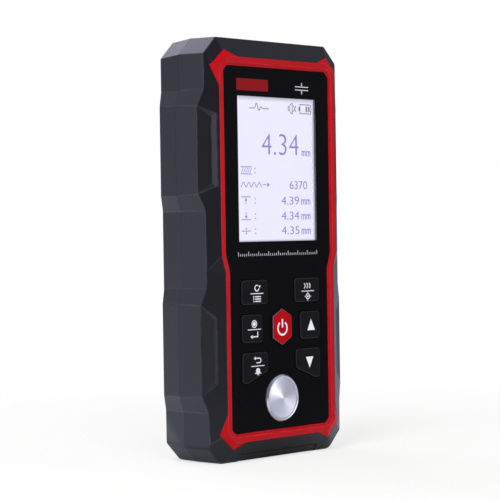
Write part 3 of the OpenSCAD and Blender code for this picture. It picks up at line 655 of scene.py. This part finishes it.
def facesOut(face):
    centre = face.calc_center_median()
    height = min(max(centre.z, caseLook["core"]), bodyTop - caseLook["core"])
    outward = centre - Vector((0, 0, height))
    return face.normal.dot(outward) > caseLook["outward"] * outward.length


def outerEdge(edge):
    longEnough = edge.calc_length() > caseLook["leastEdge"]
    return longEnough and not onPlane(edge, seam) and all(facesOut(face) for face in edge.link_faces)


def underDoor(edge):
    return all(vertex.co.y > 0 and abs(vertex.co.x) < caseLook["doorSeat"] for vertex in edge.verts)


def lowEdge(edge):
    low = all(vertex.co.z < caseLook["lowZone"] for vertex in edge.verts)
    return low and outerEdge(edge) and not underDoor(edge)


def highEdge(edge):
    return outerEdge(edge) and any(vertex.co.z >= caseLook["lowZone"] for vertex in edge.verts)


def seamEdge(edge):
    return onPlane(edge, seam) and any(
        facesOut(face) and abs(face.normal.y) < caseLook["sideTilt"] for face in edge.link_faces)


# Short edges at the ends of the grip creases are drawn together, so that the creases soften evenly
def closeShortEdges(piece):
    reach, depth = cadBox[1].x - caseLook["gripReach"], caseLook["gripDepth"]
    selectEdges(piece, lambda edge: edge.calc_length() < caseLook["shortest"] and all(
        abs(vertex.co.x) > reach and abs(vertex.co.y) > depth for vertex in edge.verts), 0)
    bpy.ops.mesh.merge(type="COLLAPSE")
    leaveEdit()


def cutAway(piece, cutter):
    applyModifier(piece, "BOOLEAN", operation="DIFFERENCE", object=cutter, solver="EXACT", material_mode="TRANSFER")
    bpy.data.objects.remove(cutter)


# Arrow pressed into the door, pointing the way it slides open
def engraveArrow(door):
    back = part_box("battery_door")[1].y
    cutter = startMark("arrowCutter")
    # The arrow's cut faces take the door's edge material, so they carry the same lighter painted highlight
    addMaterials(cutter, doorEdge)
    patch(0, doorLook["arrowFoot"], doorLook["arrowWide"] / math.sqrt(3), 3, 180)
    bpy.ops.mesh.reveal()
    selectAll()
    bpy.ops.transform.translate(value=(0, back - doorLook["arrowDeep"], 0))
    thicken(mm)
    cutAway(door, cutter)


def makeCase():
    for node, name in (("front_shell", "caseFront"), ("rear_shell", "caseRear")):
        piece = copyNode(node, name)
        addMaterials(piece, casePlastic, caseEdge)
        closeShortEdges(piece)
        softenEdges(piece, lowEdge, *caseLook["lowRound"])
        softenEdges(piece, highEdge, *caseLook["edgeRound"])
        softenEdges(piece, seamEdge, *caseLook["seamRound"])
        smoothFacets(piece)
        finishPiece(piece, "case", "case_black", node)
    door = copyNode("battery_door", "doorCover")
    addMaterials(door, doorPlastic, doorEdge)
    softenEdges(door, outerEdge, *caseLook["edgeRound"])
    engraveArrow(door)
    smoothFacets(door)
    finishPiece(door, "battery_door", "door_black", "battery_door")


makeCase()
print("case halves and door made")


# Red trim with its wrapped corners; its pinkish edge colour on the rounded front edges is a painted highlight, broken
# up like wear
trimLook = {"colour": (162, 9, 16), "cloud": (169, 11, 19), "edge": (200, 46, 54), "gloss": 0.46,
            "edgeGloss": 0.36, "wear": 0.6, "specular": 0.1, "edgeRound": (0.18 * mm, 15),
            "frontBand": 0.1 * mm, "leastEdge": 0.6 * mm, "weld": 0.03 * mm}
trimRed, trimEdge = plasticPair("trimRed", "trimEdge", trimLook)


def makeTrim():
    piece = copyNode("front_frame", "trimFrame")
    editWhole(piece)
    bpy.ops.mesh.dissolve_degenerate(threshold=trimLook["weld"])
    leaveEdit()
    addMaterials(piece, trimRed, trimEdge)
    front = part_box("front_panel")[0].y + trimLook["frontBand"]

    def frontEdge(edge):
        return all(vertex.co.y < front for vertex in edge.verts) and edge.calc_length() > trimLook["leastEdge"]

    softenEdges(piece, frontEdge, *trimLook["edgeRound"])
    smoothFacets(piece)
    finishPiece(piece, "case", "trim_red", "front_frame")


makeTrim()
print("trim made")


# Panel and keys
panelLook = {"colour": (10, 10, 12), "cloud": (13, 13, 15), "gloss": 0.3, "specular": 0.02}
panelBlack = plastic("panelBlack", panelLook["colour"], panelLook["cloud"], panelLook["gloss"],
                     grain=1500, relief=0.08, specular=panelLook["specular"])
keyBlack = plastic("keyBlack", (14, 14, 16), (18, 18, 20), 0.44, relief=0.2, specular=0.05)
# The key rims take lighter colours than the key faces, in broken patches: keyEdge and keyRim are a painted highlight
# along the rounded rims
keyEdge = plastic("keyEdge", (17, 17, 19), (22, 22, 25), 0.36, specular=0.25, worn=(36, 36, 40))
keyRed = plastic("keyRed", (162, 5, 10), (168, 7, 13), 0.4, specular=0.03)
keyRim = plastic("keyRim", (24, 24, 28), (32, 32, 36), 0.3, specular=1, worn=(64, 66, 74), amount=0.4)
keyNames = ["key_menu", "key_enter", "key_back", "key_calibrate", "key_up", "key_down", "key_power"]
keyLook = {"edgeRound": (0.28 * mm, 40, 3)}


def coat(node, material):
    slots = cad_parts[node].data.materials
    slots.clear()
    slots.append(material)


def camel(node):
    first, *rest = node.split("_")
    return first + "".join(word.title() for word in rest)


def makeKey(node):
    piece = copyNode(node, camel(node) + "Cap")
    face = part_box(node)[0].y
    addMaterials(piece, keyBlack, keyRim if node == "key_power" else keyEdge, keyRed)
    softenEdges(piece, lambda edge: onPlane(edge, face), *keyLook["edgeRound"])
    if node == "key_power":
        paintFaces(piece, lambda part: facesFront(part) and part.calc_center_median().y < face + touch, 2)
    smoothFacets(piece)
    slot = "key_red" if node == "key_power" else "key_black"
    return finishPiece(piece, node, slot, node)


coat("front_panel", panelBlack)
for keyName in keyNames:
    makeKey(keyName)
print("panel and keys made")


# White key legends above and below a divider, and the power sign
inkWhite = plastic("inkWhite", (232, 232, 236), (214, 214, 220), 0.5, grain=3200, relief=0.1, specular=0.3)
legendLook = {"places": {"key_menu": (-12.2, 56.6), "key_enter": (-13.7, 44.5), "key_back": (-12.2, 32.1),
                         "key_calibrate": (13.6, 56.6), "key_up": (15.1, 44.2), "key_down": (14.1, 32.4)},
              "half": 3.2, "divider": 0.26, "rise": 1.85, "triangle": 2.6, "narrow": 0.86,
              "ring": 2.6, "ringDrop": 0.5, "ringLine": 0.64, "ringSides": 60, "barFoot": 0.3}


def cycleSign(x, z):
    arc(x, z, 1.15, 0.36, 60, 350)
    patch(x + 1.35, z + 0.55, 0.6, 3, 200)


def listSign(x, z):
    for step in (-0.8, 0, 0.8):
        bar(x - 0.9, z + step, x + 1.9, z + step, 0.36)
        patch(x - 1.6, z + step, 0.26, 12)


def dotSign(x, z):
    patch(x, z, 0.7, 32)
    arc(x, z, 1.3, 0.3)


def enterSign(x, z):
    bars(x, z, (1.6, -0.8, 1.6, 1.1, 0.4), (-0.7, -0.6, 1.38, -0.6, 0.4))
    patch(x - 1.25, z - 0.6, 0.75, 3, 90)


def backSign(x, z):
    arc(x + 0.7, z, 0.95, 0.36, 0, 90)
    arc(x + 0.7, z, 0.95, 0.36, 270, 360)
    bars(x, z, (-0.8, 0.77, 0.7, 0.77, 0.36), (-0.8, -0.77, 0.7, -0.77, 0.36))
    patch(x - 1.35, z + 0.77, 0.7, 3, 90)


def bellSign(x, z):
    arc(x, z + 0.15, 1, 0.96, 0, 180)
    bars(x, z, (-1, -0.15, 1, -0.15, 0.5), (-1.5, -0.62, 1.5, -0.62, 0.34))
    patch(x, z - 1.1, 0.28, 16)


def speedSign(x, z):
    for step in (-1.3, 0, 1.3):
        bars(x + step, z, (-0.5, 0.9, 0.1, 0.06, 0.36), (-0.5, -0.9, 0.1, -0.06, 0.36))


def targetSign(x, z):
    arc(x, z, 1.05, 0.3)
    patch(x, z, 0.36, 20)
    for turn in (0, 90, 180, 270):
        side, rise = math.cos(math.radians(turn)), math.sin(math.radians(turn))
        bar(x + 1.15 * side, z + 1.15 * rise, x + 1.6 * side, z + 1.6 * rise, 0.3)


def makeLegends():
    half, rise = legendLook["half"], legendLook["rise"]
    signs = {"key_menu": (cycleSign, listSign), "key_enter": (dotSign, enterSign), "key_back": (backSign, bellSign),
             "key_calibrate": (speedSign, targetSign)}
    for node, (x, z) in legendLook["places"].items():
        piece = startMark(camel(node) + "Legend")
        if node in signs:
            above, below = signs[node]
            bar(x - half, z, x + half, z, legendLook["divider"])
            above(x, z + rise)
            below(x, z - rise)
        else:
            patch(x, z, legendLook["triangle"], 3, 180 if node == "key_down" else 0, legendLook["narrow"])
        finishMark(piece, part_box(node)[0].y, inkWhite, node, "key_black")
    low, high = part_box("key_power")
    x, z = (low.x + high.x) / 2 / mm, (low.z + high.z) / 2 / mm
    ring, line = legendLook["ring"], legendLook["ringLine"]
    piece = startMark("keyPowerSign")
    for first, last in ((0, 52), (128, 360)):
        arc(x, z - legendLook["ringDrop"], ring, line, first, last, legendLook["ringSides"])
    bar(x, z - legendLook["barFoot"], x, z + ring, line)
    finishMark(piece, low.y, inkWhite, "key_power", "key_red")


makeLegends()
print("legends printed")


# Panel prints: a fine tick scale, a bare red plate and a thickness sign
plateRed = plastic("plateRed", (124, 12, 18), (132, 15, 22), 0.4, grain=1800, relief=0.1, specular=0.06)
printLook = {"scale": (-20.3, 19.3, 69.3), "ticks": 40, "longEvery": 5, "tick": 0.16, "short": 0.8,
             "long": 1.5, "plate": (-20.1, 125.2, -4.6, 129.2), "sign": (12.6, 127.0)}


def makePrints():
    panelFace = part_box("front_panel")[0].y
    start, end, foot = printLook["scale"]
    piece = startMark("tickScale")
    for step in range(printLook["ticks"] + 1):
        x = start + (end - start) * step / printLook["ticks"]
        high = printLook["short" if step % printLook["longEvery"] else "long"]
        bar(x, foot, x, foot + high, printLook["tick"])
    finishMark(piece, panelFace, inkWhite, "case", "panel_black")
    piece = startMark("barePlate")
    slab(*printLook["plate"])
    finishMark(piece, panelFace, plateRed, "case", "trim_red")
    x, z = printLook["sign"]
    piece = startMark("thicknessSign")
    bars(x, z, (-3.4, 0.55, 3.4, 0.55, 0.22), (-3.4, -0.55, 3.4, -0.55, 0.22))
    for side, angle in ((1, 180), (-1, 0)):
        bar(x, z + side * 1.5, x, z + side * 1.95, 0.24)
        patch(x, z + side * 1.15, 0.42, 3, angle)
    finishMark(piece, panelFace, inkWhite, "case", "panel_black")


makePrints()
print("panel prints made")


# Display: lit face with a painted soft shade at its border, numbers and signs in violet ink, clear window
displayLook = {"light": srgb(240, 238, 255), "lightCloud": srgb(236, 235, 254), "shade": srgb(192, 194, 212),
               "ink": srgb(118, 110, 202), "inkCloud": srgb(134, 126, 212), "headInk": srgb(84, 83, 112),
               "headCloud": srgb(100, 99, 128), "unlit": (0.02, 0.02, 0.022, 1), "glow": 0.94, "gloss": 0.5,
               "half": 19.65 * mm, "low": 74.3 * mm, "high": 123.3 * mm, "topShade": 1.6 * mm, "rightShade": 0.9 * mm,
               "leftShade": 0.8 * mm, "lowShade": 0.7 * mm, "grain": 9000.0, "inkGrain": 5000.0,
               "pulse": (-12.6, 118.6, 1.2125), "muted": (8.9, 120), "battery": (12.2, 118.3, 18.7, 121.7),
               "signs": -17.3, "colons": -10.4, "dots": (0.6, 2.0), "rows": (97.0, 92.1, 86.7, 81.5, 76.4)}
numberLook = {"main": ("4.34", -6.8, 103.8, 11.9, 111.0, -0.014), "mainUnit": ("mm", 13.5, 103.6, 18, 105.5, 0.008),
              "high": 2.8, "weight": -0.004, "unitHigh": 1.9, "unitWeight": 0.008}
windowLook = {"surface": {"Grain": 400.0, "Gloss": 0.02, "Spread": 0.02},
              "glass": {"Base Color": (1, 1, 1, 1), "Transmission Weight": 1, "IOR": 1.2}}


def makeLit(name, colour, cloud, grain):
    material, tree, shader = newMaterial(name)
    surface = useGroup(tree, mouldGrain, Colour=colour, Cloud=cloud, Grain=grain, Gloss=displayLook["gloss"])
    tree.links.new(surface.outputs["Colour"], shader.inputs["Emission Color"])
    tree.links.new(surface.outputs["Roughness"], shader.inputs["Roughness"])
    setInputs(shader, {"Emission Strength": displayLook["glow"], "Base Color": displayLook["unlit"]})
    return material, tree, shader, surface.outputs["Colour"]


def makeDisplayFace():
    material, tree, shader, colour = makeLit("displayLit", displayLook["light"], displayLook["lightCloud"],
                                             displayLook["grain"])
    parts = split(tree, objectPlace(tree))
    half, low, high = displayLook["half"], displayLook["low"], displayLook["high"]
    # Painted shade: the lit face darkens towards its top, right, left and lower borders, as if shaded by the edge of
    # the window
    mask = 0
    for axis, edge, inward in (("Z", high, -displayLook["topShade"]), ("X", half, -displayLook["rightShade"]),
                               ("X", -half, displayLook["leftShade"]), ("Z", low, displayLook["lowShade"])):
        mask = mathNode(tree, "MAXIMUM", mask, ramp(tree, parts[axis], edge, edge + inward, 1, 0))
    lit = mixColours(tree, mask, colour, displayLook["shade"])
    tree.links.new(lit, shader.inputs["Emission Color"])
    coat("display_glass", material)


def pulseSign(x, z, step):
    for start, low, end, high in ((0, 0.9, 2, 0.9), (2.15, 1, 2.75, 2.7), (2.95, 2.7, 3.75, 0.1),
                                  (3.95, 0.1, 4.6, 1.6), (4.8, 1.5, 5.2, 1), (5.3, 0.9, 8, 0.9)):
        bar(x + start * step, z + low, x + end * step, z + high)


def mutedSign(x, z):
    outline(x - 2.2, z - 0.75, x - 1.2, z + 0.75, 0.28)
    bars(x, z, (-1.2, 0.95, -0.1, 1.9), (-1.2, -0.95, -0.1, -1.9), (0.1, -1.9, 0.1, 1.9, 0.28),
         (0.6, -1.1, 2, 1.1), (0.6, 1.1, 1.1, 0.32), (1.5, -0.32, 2, -1.1))


def batterySign(x0, z0, x1, z1):
    outline(x0 + 0.6, z0, x1, z1, 0.28)
    middle = (z0 + z1) / 2
    bar(x0, middle, x0 + 0.55, middle, 1.4)
    for step in range(2):
        x = x1 - 1.1 - step * 1.3
        bar(x, z0 + 0.7, x, z1 - 0.7, 0.7)


def plateSign(x, z):
    bars(x, z, (0, 2.5, 5.4, 2.5), (0, 0.1, 5.4, 0.1))
    for step in range(5):
        bar(x + 0.4 + step, z + 0.45, x + 1.3 + step, z + 2.15, 0.24)


def waveSign(x, z):
    for step in range(4):
        bar(x + 2.6 * step, z + 0.5, x + 1.1 + 2.6 * step, z + 2.3)
        bar(x + 1.35 + 2.6 * step, z + 2.3, x + 2.35 + 2.6 * step, z + 0.5)
    bar(x + 10.7, z + 1.4, x + 12.6, z + 1.4)
    patch(x + 13.4, z + 1.4, 0.9, 3, 270)


def limitSign(x, z, angle, atTop):
    edge, body = (z + 2.65, -1) if atTop else (z + 0.15, 1)
    bar(x, edge, x + 4.6, edge)
    patch(x + 2.3, edge + body * 0.95, 0.75, 3, angle)
    bar(x + 2.3, edge + body * 1.4, x + 2.3, edge + body * 2.5)


def meanSign(x, z):
    bar(x, z + 1.4, x + 4.6, z + 1.4)
    patch(x + 2.3, z + 2.15, 0.5, 3, 180)
    patch(x + 2.3, z + 0.65, 0.5, 3, 0)


def makeDisplay():
    makeDisplayFace()
    ink = makeLit("displayInk", displayLook["ink"], displayLook["inkCloud"], displayLook["inkGrain"])[0]
    headInk = makeLit("displayHeadInk", displayLook["headInk"], displayLook["headCloud"], displayLook["inkGrain"])[0]
    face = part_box("display_glass")[0].y
    piece = startMark("displayHeader")
    pulseSign(*displayLook["pulse"])
    mutedSign(*displayLook["muted"])
    batterySign(*displayLook["battery"])
    finishMark(piece, face, headInk, "case", "display_pale")
    piece = startMark("displaySigns")
    left, (plateRow, waveRow, highRow, lowRow, meanRow) = displayLook["signs"], displayLook["rows"]
    plateSign(left, plateRow)
    waveSign(left, waveRow)
    limitSign(left, highRow, 0, True)
    limitSign(left, lowRow, 180, False)
    meanSign(left, meanRow)
    for z in (highRow, lowRow, meanRow, plateRow):
        for rise in displayLook["dots"]:
            patch(displayLook["colons"], z + rise, 0.26, 10)
    finishMark(piece, face, ink, "case", "display_pale")
    rows = [numberLook["main"], numberLook["mainUnit"]]
    for text, x0, x1, z in (("6370", 7.1, 16.1, waveRow), ("4.39", 2.7, 11.8, highRow), ("4.34", 2.7, 11.8, lowRow),
                            ("4.35", 2.7, 11.8, meanRow)):
        rows.append((text, x0, z, x1, z + numberLook["high"], numberLook["weight"]))
        if z != waveRow:
            rows.append(("mm", 12.9, z, 17.7, z + numberLook["unitHigh"], numberLook["unitWeight"]))
    for index, (text, x0, z0, x1, z1, weight) in enumerate(rows):
        piece = number(text, x0, z0, x1, z1, face, weight, "displayNumber%d" % index)
        addMaterials(piece, ink)
        finishPiece(piece, "case", "display_pale")


def makeWindow():
    material, tree, shader = newMaterial("windowClear")
    surface = useGroup(tree, mouldGrain, **windowLook["surface"])
    tree.links.new(surface.outputs["Roughness"], shader.inputs["Roughness"])
    setInputs(shader, windowLook["glass"])
    coat("display_window", material)


makeDisplay()
makeWindow()
print("display made")


# Spun steel calibration disc with a chamfered rim, a groove and a shallow cone
discLook = {"colour": srgb(205, 206, 211), "cloud": srgb(226, 227, 232), "faceGloss": 0.34, "wallGloss": 0.16,
            "wallMetal": 0.85, "spin": 0.62, "spinTurn": 0.25, "pitch": 0.09 * mm, "sides": 128, "rim": 0.4 * mm,
            "rimChamfer": 0.5 * mm, "fromAngle": 40, "groove": 0.08 * mm, "grooveWide": 0.12 * mm, "crown": 0.26 * mm,
            "tip": 0.3 * mm, "tipShare": 0.04, "wallTilt": 0.9, "smoother": 0.05, "rougher": 0.08,
            "relief": 0.12, "reliefDeep": 0.004 * mm}


def makeSpunSteel(name, gloss, spun):
    material, tree, shader = newMaterial(name)
    low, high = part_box("calibration_block")
    setInputs(shader, {"Metallic": 1 if spun else discLook["wallMetal"]})
    lines = useGroup(tree, turning, Across=(low.x + high.x) / 2, Height=(low.z + high.z) / 2,
                     Pitch=discLook["pitch"]).outputs["Lines"]
    skin = mixColours(tree, lines, discLook["colour"], discLook["cloud"])
    tree.links.new(skin, shader.inputs["Base Color"])
    rough = ramp(tree, lines, 0, 1, gloss - discLook["smoother"], gloss + discLook["rougher"], "LINEAR")
    tree.links.new(rough, shader.inputs["Roughness"])
    if spun:
        setInputs(shader, {"Anisotropic": discLook["spin"], "Anisotropic Rotation": discLook["spinTurn"]})
        tangent = addNode(tree, "Tangent", direction_type="RADIAL", axis="Y")
        tree.links.new(tangent.outputs[0], shader.inputs["Tangent"])
        addBump(tree, shader, lines, discLook["relief"], discLook["reliefDeep"])
    return material


def makeDisc():
    low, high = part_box("calibration_block")
    radius, depth = (high.x - low.x) / 2, high.y - low.y
    centre = (low + high) / 2
    clearSelection()
    bpy.ops.mesh.primitive_cylinder_add(vertices=discLook["sides"], radius=radius, depth=depth, location=centre,
                                        rotation=upright)
    piece = bpy.context.object
    piece.name = "calibrationDisc"
    applyPlace()
    addMaterials(piece, makeSpunSteel("discFace", discLook["faceGloss"], True),
                 makeSpunSteel("discWall", discLook["wallGloss"], False))
    softenEdges(piece, lambda edge: onPlane(edge, low.y), discLook["rimChamfer"], discLook["fromAngle"], 1)
    paintFaces(piece, lambda part: abs(part.normal.y) < discLook["wallTilt"], 1)
    selectFaces(piece, facesFront)
    wide, deep, crown = discLook["grooveWide"], discLook["groove"], discLook["crown"]
    bpy.ops.mesh.inset(thickness=discLook["rim"])
    bpy.ops.mesh.inset(thickness=wide, depth=-deep)
    bpy.ops.mesh.inset(thickness=wide, depth=deep - crown)
    slope = radius - discLook["rimChamfer"] - discLook["rim"] - 2 * wide - discLook["tip"]
    bpy.ops.mesh.inset(thickness=slope, depth=(1 - discLook["tipShare"]) * crown)
    bpy.ops.mesh.poke(offset=discLook["tipShare"] * crown)
    leaveEdit()
    smoothFacets(piece)
    finishPiece(piece, "case", "block_steel", "calibration_block")


makeDisc()
print("disc made")


# Pan-head case screws with a cross recess, one modelled and copied into the four wells
screwLook = {"sides": 48, "headRound": (0.7 * mm, 40, 5), "crossLong": 2.7 * mm,
             "crossWide": 0.62 * mm, "crossDeep": 1.1 * mm, "crossTaper": 0.6, "headRadius": 2.5 * mm,
             "headHigh": 1.8 * mm, "shankRadius": 1.3 * mm}
screwSteel = metal("screwSteel", (150, 151, 156), (176, 177, 182), 0.36, worn=(96, 96, 100))
# The cross recess takes a darker, rougher steel: painted shade in the recess
screwRecess = metal("screwRecess", (92, 92, 96), (112, 112, 117), 0.5)


def makeScrews():
    low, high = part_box("case_screws")
    radius, headTop = screwLook["headRadius"], high.y
    length = high.y - low.y - screwLook["headHigh"]
    clearSelection()
    bpy.ops.mesh.primitive_cylinder_add(vertices=screwLook["sides"], radius=radius, depth=screwLook["headHigh"],
                                        location=(0, headTop - screwLook["headHigh"] / 2, 0), rotation=upright)
    screw = bpy.context.object
    applyPlace()
    addMaterials(screw, screwSteel, screwSteel, screwRecess)
    softenEdges(screw, lambda edge: onPlane(edge, headTop), *screwLook["headRound"])
    selectFaces(screw, facesFront)
    bpy.ops.mesh.inset(thickness=radius - screwLook["shankRadius"])
    bpy.ops.mesh.extrude_region_move(TRANSFORM_OT_translate={"value": (0, -length, 0)})
    leaveEdit()
    armLong, armWide, taper = screwLook["crossLong"], screwLook["crossWide"], screwLook["crossTaper"]
    for wide, long in ((armLong, armWide), (armWide, armLong)):
        clearSelection()
        bpy.ops.mesh.primitive_cube_add(size=1, location=(0, headTop, 0))
        cutter = bpy.context.object
        cutter.scale = (wide, 2 * screwLook["crossDeep"], long)
        applyPlace()
        addMaterials(cutter, screwRecess)
        selectFaces(cutter, facesFront)
        bpy.ops.transform.resize(value=(taper, 1, taper))
        leaveEdit()
        cutAway(screw, cutter)
    copies = []
    for x in (low.x + radius, high.x - radius):
        for z in (low.z + radius, high.z - radius):
            copy = newObject("caseScrews", screw.data.copy())
            copy.location = (x, 0, z)
            copies.append(copy)
    bpy.data.objects.remove(screw)
    clearSelection()
    for copy in copies:
        copy.select_set(True)
    bpy.context.view_layer.objects.active = copies[0]
    applyPlace()
    bpy.ops.object.join()
    smoothFacets(copies[0], smoothLook["broadOnRound"])
    finishPiece(copies[0], "case", "screw_steel", "case_screws")


makeScrews()
print("screws made")


# Probe sockets with rounded collars
socketLook = {"round": (0.16 * mm, 60, 3), "collar": 3 * mm}
socketChrome = metal("socketChrome", (206, 207, 212), (220, 221, 225), 0.16, spread=0.1)
socketRim = metal("socketRim", (214, 215, 219), (228, 229, 232), 0.12, spread=0.06)


def makeSockets():
    for node, name in (("probe_socket_left", "socketLeft"), ("probe_socket_right", "socketRight")):
        piece = copyNode(node, name)
        addMaterials(piece, socketChrome, socketRim)
        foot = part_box(node)[1].z - socketLook["collar"]
        softenEdges(piece, lambda edge: all(vertex.co.z > foot for vertex in edge.verts),
                    *socketLook["round"])
        smoothFacets(piece, smoothLook["broadOnRound"])
        finishPiece(piece, "case", "socket_chrome", node)


makeSockets()
print("sockets made")


# Dry cells with a printed wrap, bare ends and a crimped shoulder
cellLook = {"wrap": srgb(58, 78, 104), "band": srgb(188, 192, 198), "worn": srgb(120, 130, 142), "bandHigh": 9 * mm,
            "round": (0.5 * mm, 40, 4), "canShare": 0.98, "endShare": 0.9,
            "grain": 900.0, "gloss": 0.3, "wear": 0.25, "wearScale": 160.0, "relief": 0.1}


def makeWrap(top):
    material, tree, shader = newMaterial("cellWrap")
    band = mathNode(tree, "GREATER_THAN", split(tree, objectPlace(tree))["Z"], top - cellLook["bandHigh"])
    film = mixColours(tree, band, cellLook["wrap"], cellLook["band"])
    surface = useGroup(tree, mouldGrain, Colour=film, Cloud=film, Grain=cellLook["grain"], Gloss=cellLook["gloss"])
    worn = useGroup(tree, wearAndSheen, Colour=surface.outputs["Colour"], Worn=cellLook["worn"],
                    Scale=cellLook["wearScale"], Amount=cellLook["wear"])
    dress(tree, shader, worn.outputs["Colour"], surface)
    addBump(tree, shader, surface.outputs["Height"], cellLook["relief"], reliefDepth["metal"])
    return material


def makeCells():
    steel = metal("cellSteel", (184, 185, 188), (204, 205, 208), 0.26)
    wrap = makeWrap(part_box("battery_cell_left")[1].z)
    for place in ("left", "middle", "right"):
        node = "battery_cell_" + place
        piece = copyNode(node, "cell" + place.title())
        addMaterials(piece, wrap, wrap, steel)
        low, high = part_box(node)
        middle, radius = (low + high) / 2, (high.x - low.x) / 2

        def onCan(edge):
            return all((vertex.co.xy - middle.xy).length > radius * cellLook["canShare"] for vertex in edge.verts)

        def onEnd(face):
            return (face.calc_center_median().xy - middle.xy).length < radius * cellLook["endShare"]

        softenEdges(piece, onCan, *cellLook["round"])
        paintFaces(piece, onEnd, 2)
        smoothFacets(piece, smoothLook["broadOnRound"])
        finishPiece(piece, "case", "cell_wrap", node)


makeCells()
print("cells made")


# Finishes of the inner parts that keep their solids
boardLook = {"tracks": {"Scale": 160, "Mortar Size": 0.06, "Brick Width": 1.4, "Row Height": 0.5,
                        "Color1": srgb(16, 74, 48), "Color2": srgb(20, 84, 54), "Mortar": srgb(38, 108, 70)},
             "cloud": srgb(24, 88, 58), "grain": 1200.0, "gloss": 0.34, "relief": 0.3, "reliefDeep": 0.03 * mm}


def makeBoard():
    material, tree, shader = newMaterial("boardGreen")
    turned = addNode(tree, "Mapping", {"Rotation": upright})
    tree.links.new(objectPlace(tree), turned.inputs["Vector"])
    tracks = addNode(tree, "TexBrick", boardLook["tracks"])
    tree.links.new(turned.outputs["Vector"], tracks.inputs["Vector"])
    surface = useGroup(tree, mouldGrain, Colour=tracks.outputs["Color"], Cloud=boardLook["cloud"],
                       Grain=boardLook["grain"], Gloss=boardLook["gloss"])
    dress(tree, shader, surface.outputs["Colour"], surface)
    addBump(tree, shader, tracks.outputs["Fac"], boardLook["relief"], boardLook["reliefDeep"])
    return material


def coatInnerParts():
    springSteel = metal("springSteel", (176, 177, 181), (196, 197, 200), 0.28, worn=(132, 128, 122))
    boardSteel = metal("boardSteel", (168, 169, 174), (190, 191, 195), 0.34)
    tin = metal("shieldTin", (172, 174, 178), (192, 194, 197), 0.4, worn=(134, 136, 140))
    brass = metal("contactBrass", (196, 164, 92), (212, 182, 112), 0.26, worn=(150, 118, 62))
    epoxy = plastic("chipBlack", (26, 26, 28), (34, 34, 36), 0.55, grain=3000, relief=0.3)
    horn = plastic("buzzerBlack", (22, 22, 24), (30, 30, 32), 0.4)
    silicone = plastic("matGrey", (112, 114, 118), (124, 126, 130), 0.62, grain=2000, relief=0.3)
    diffuser = plastic("backlightWhite", (232, 232, 236), (242, 242, 244), 0.5, relief=0.1)
    film = plastic("ribbonAmber", (176, 96, 28), (194, 114, 40), 0.3, grain=900, relief=0.1)
    for node, material in (
            ("battery_springs", springSteel), ("battery_plates", springSteel), ("board_screws", boardSteel),
            ("key_switches", boardSteel), ("socket_nuts", boardSteel), ("shield_can", tin),
            ("socket_contacts", brass), ("board_chips", epoxy), ("buzzer", horn), ("keypad_mat", silicone),
            ("display_backlight", diffuser), ("display_ribbon", film), ("main_board", makeBoard())):
        coat(node, material)


coatInnerParts()
print("inner parts finished")
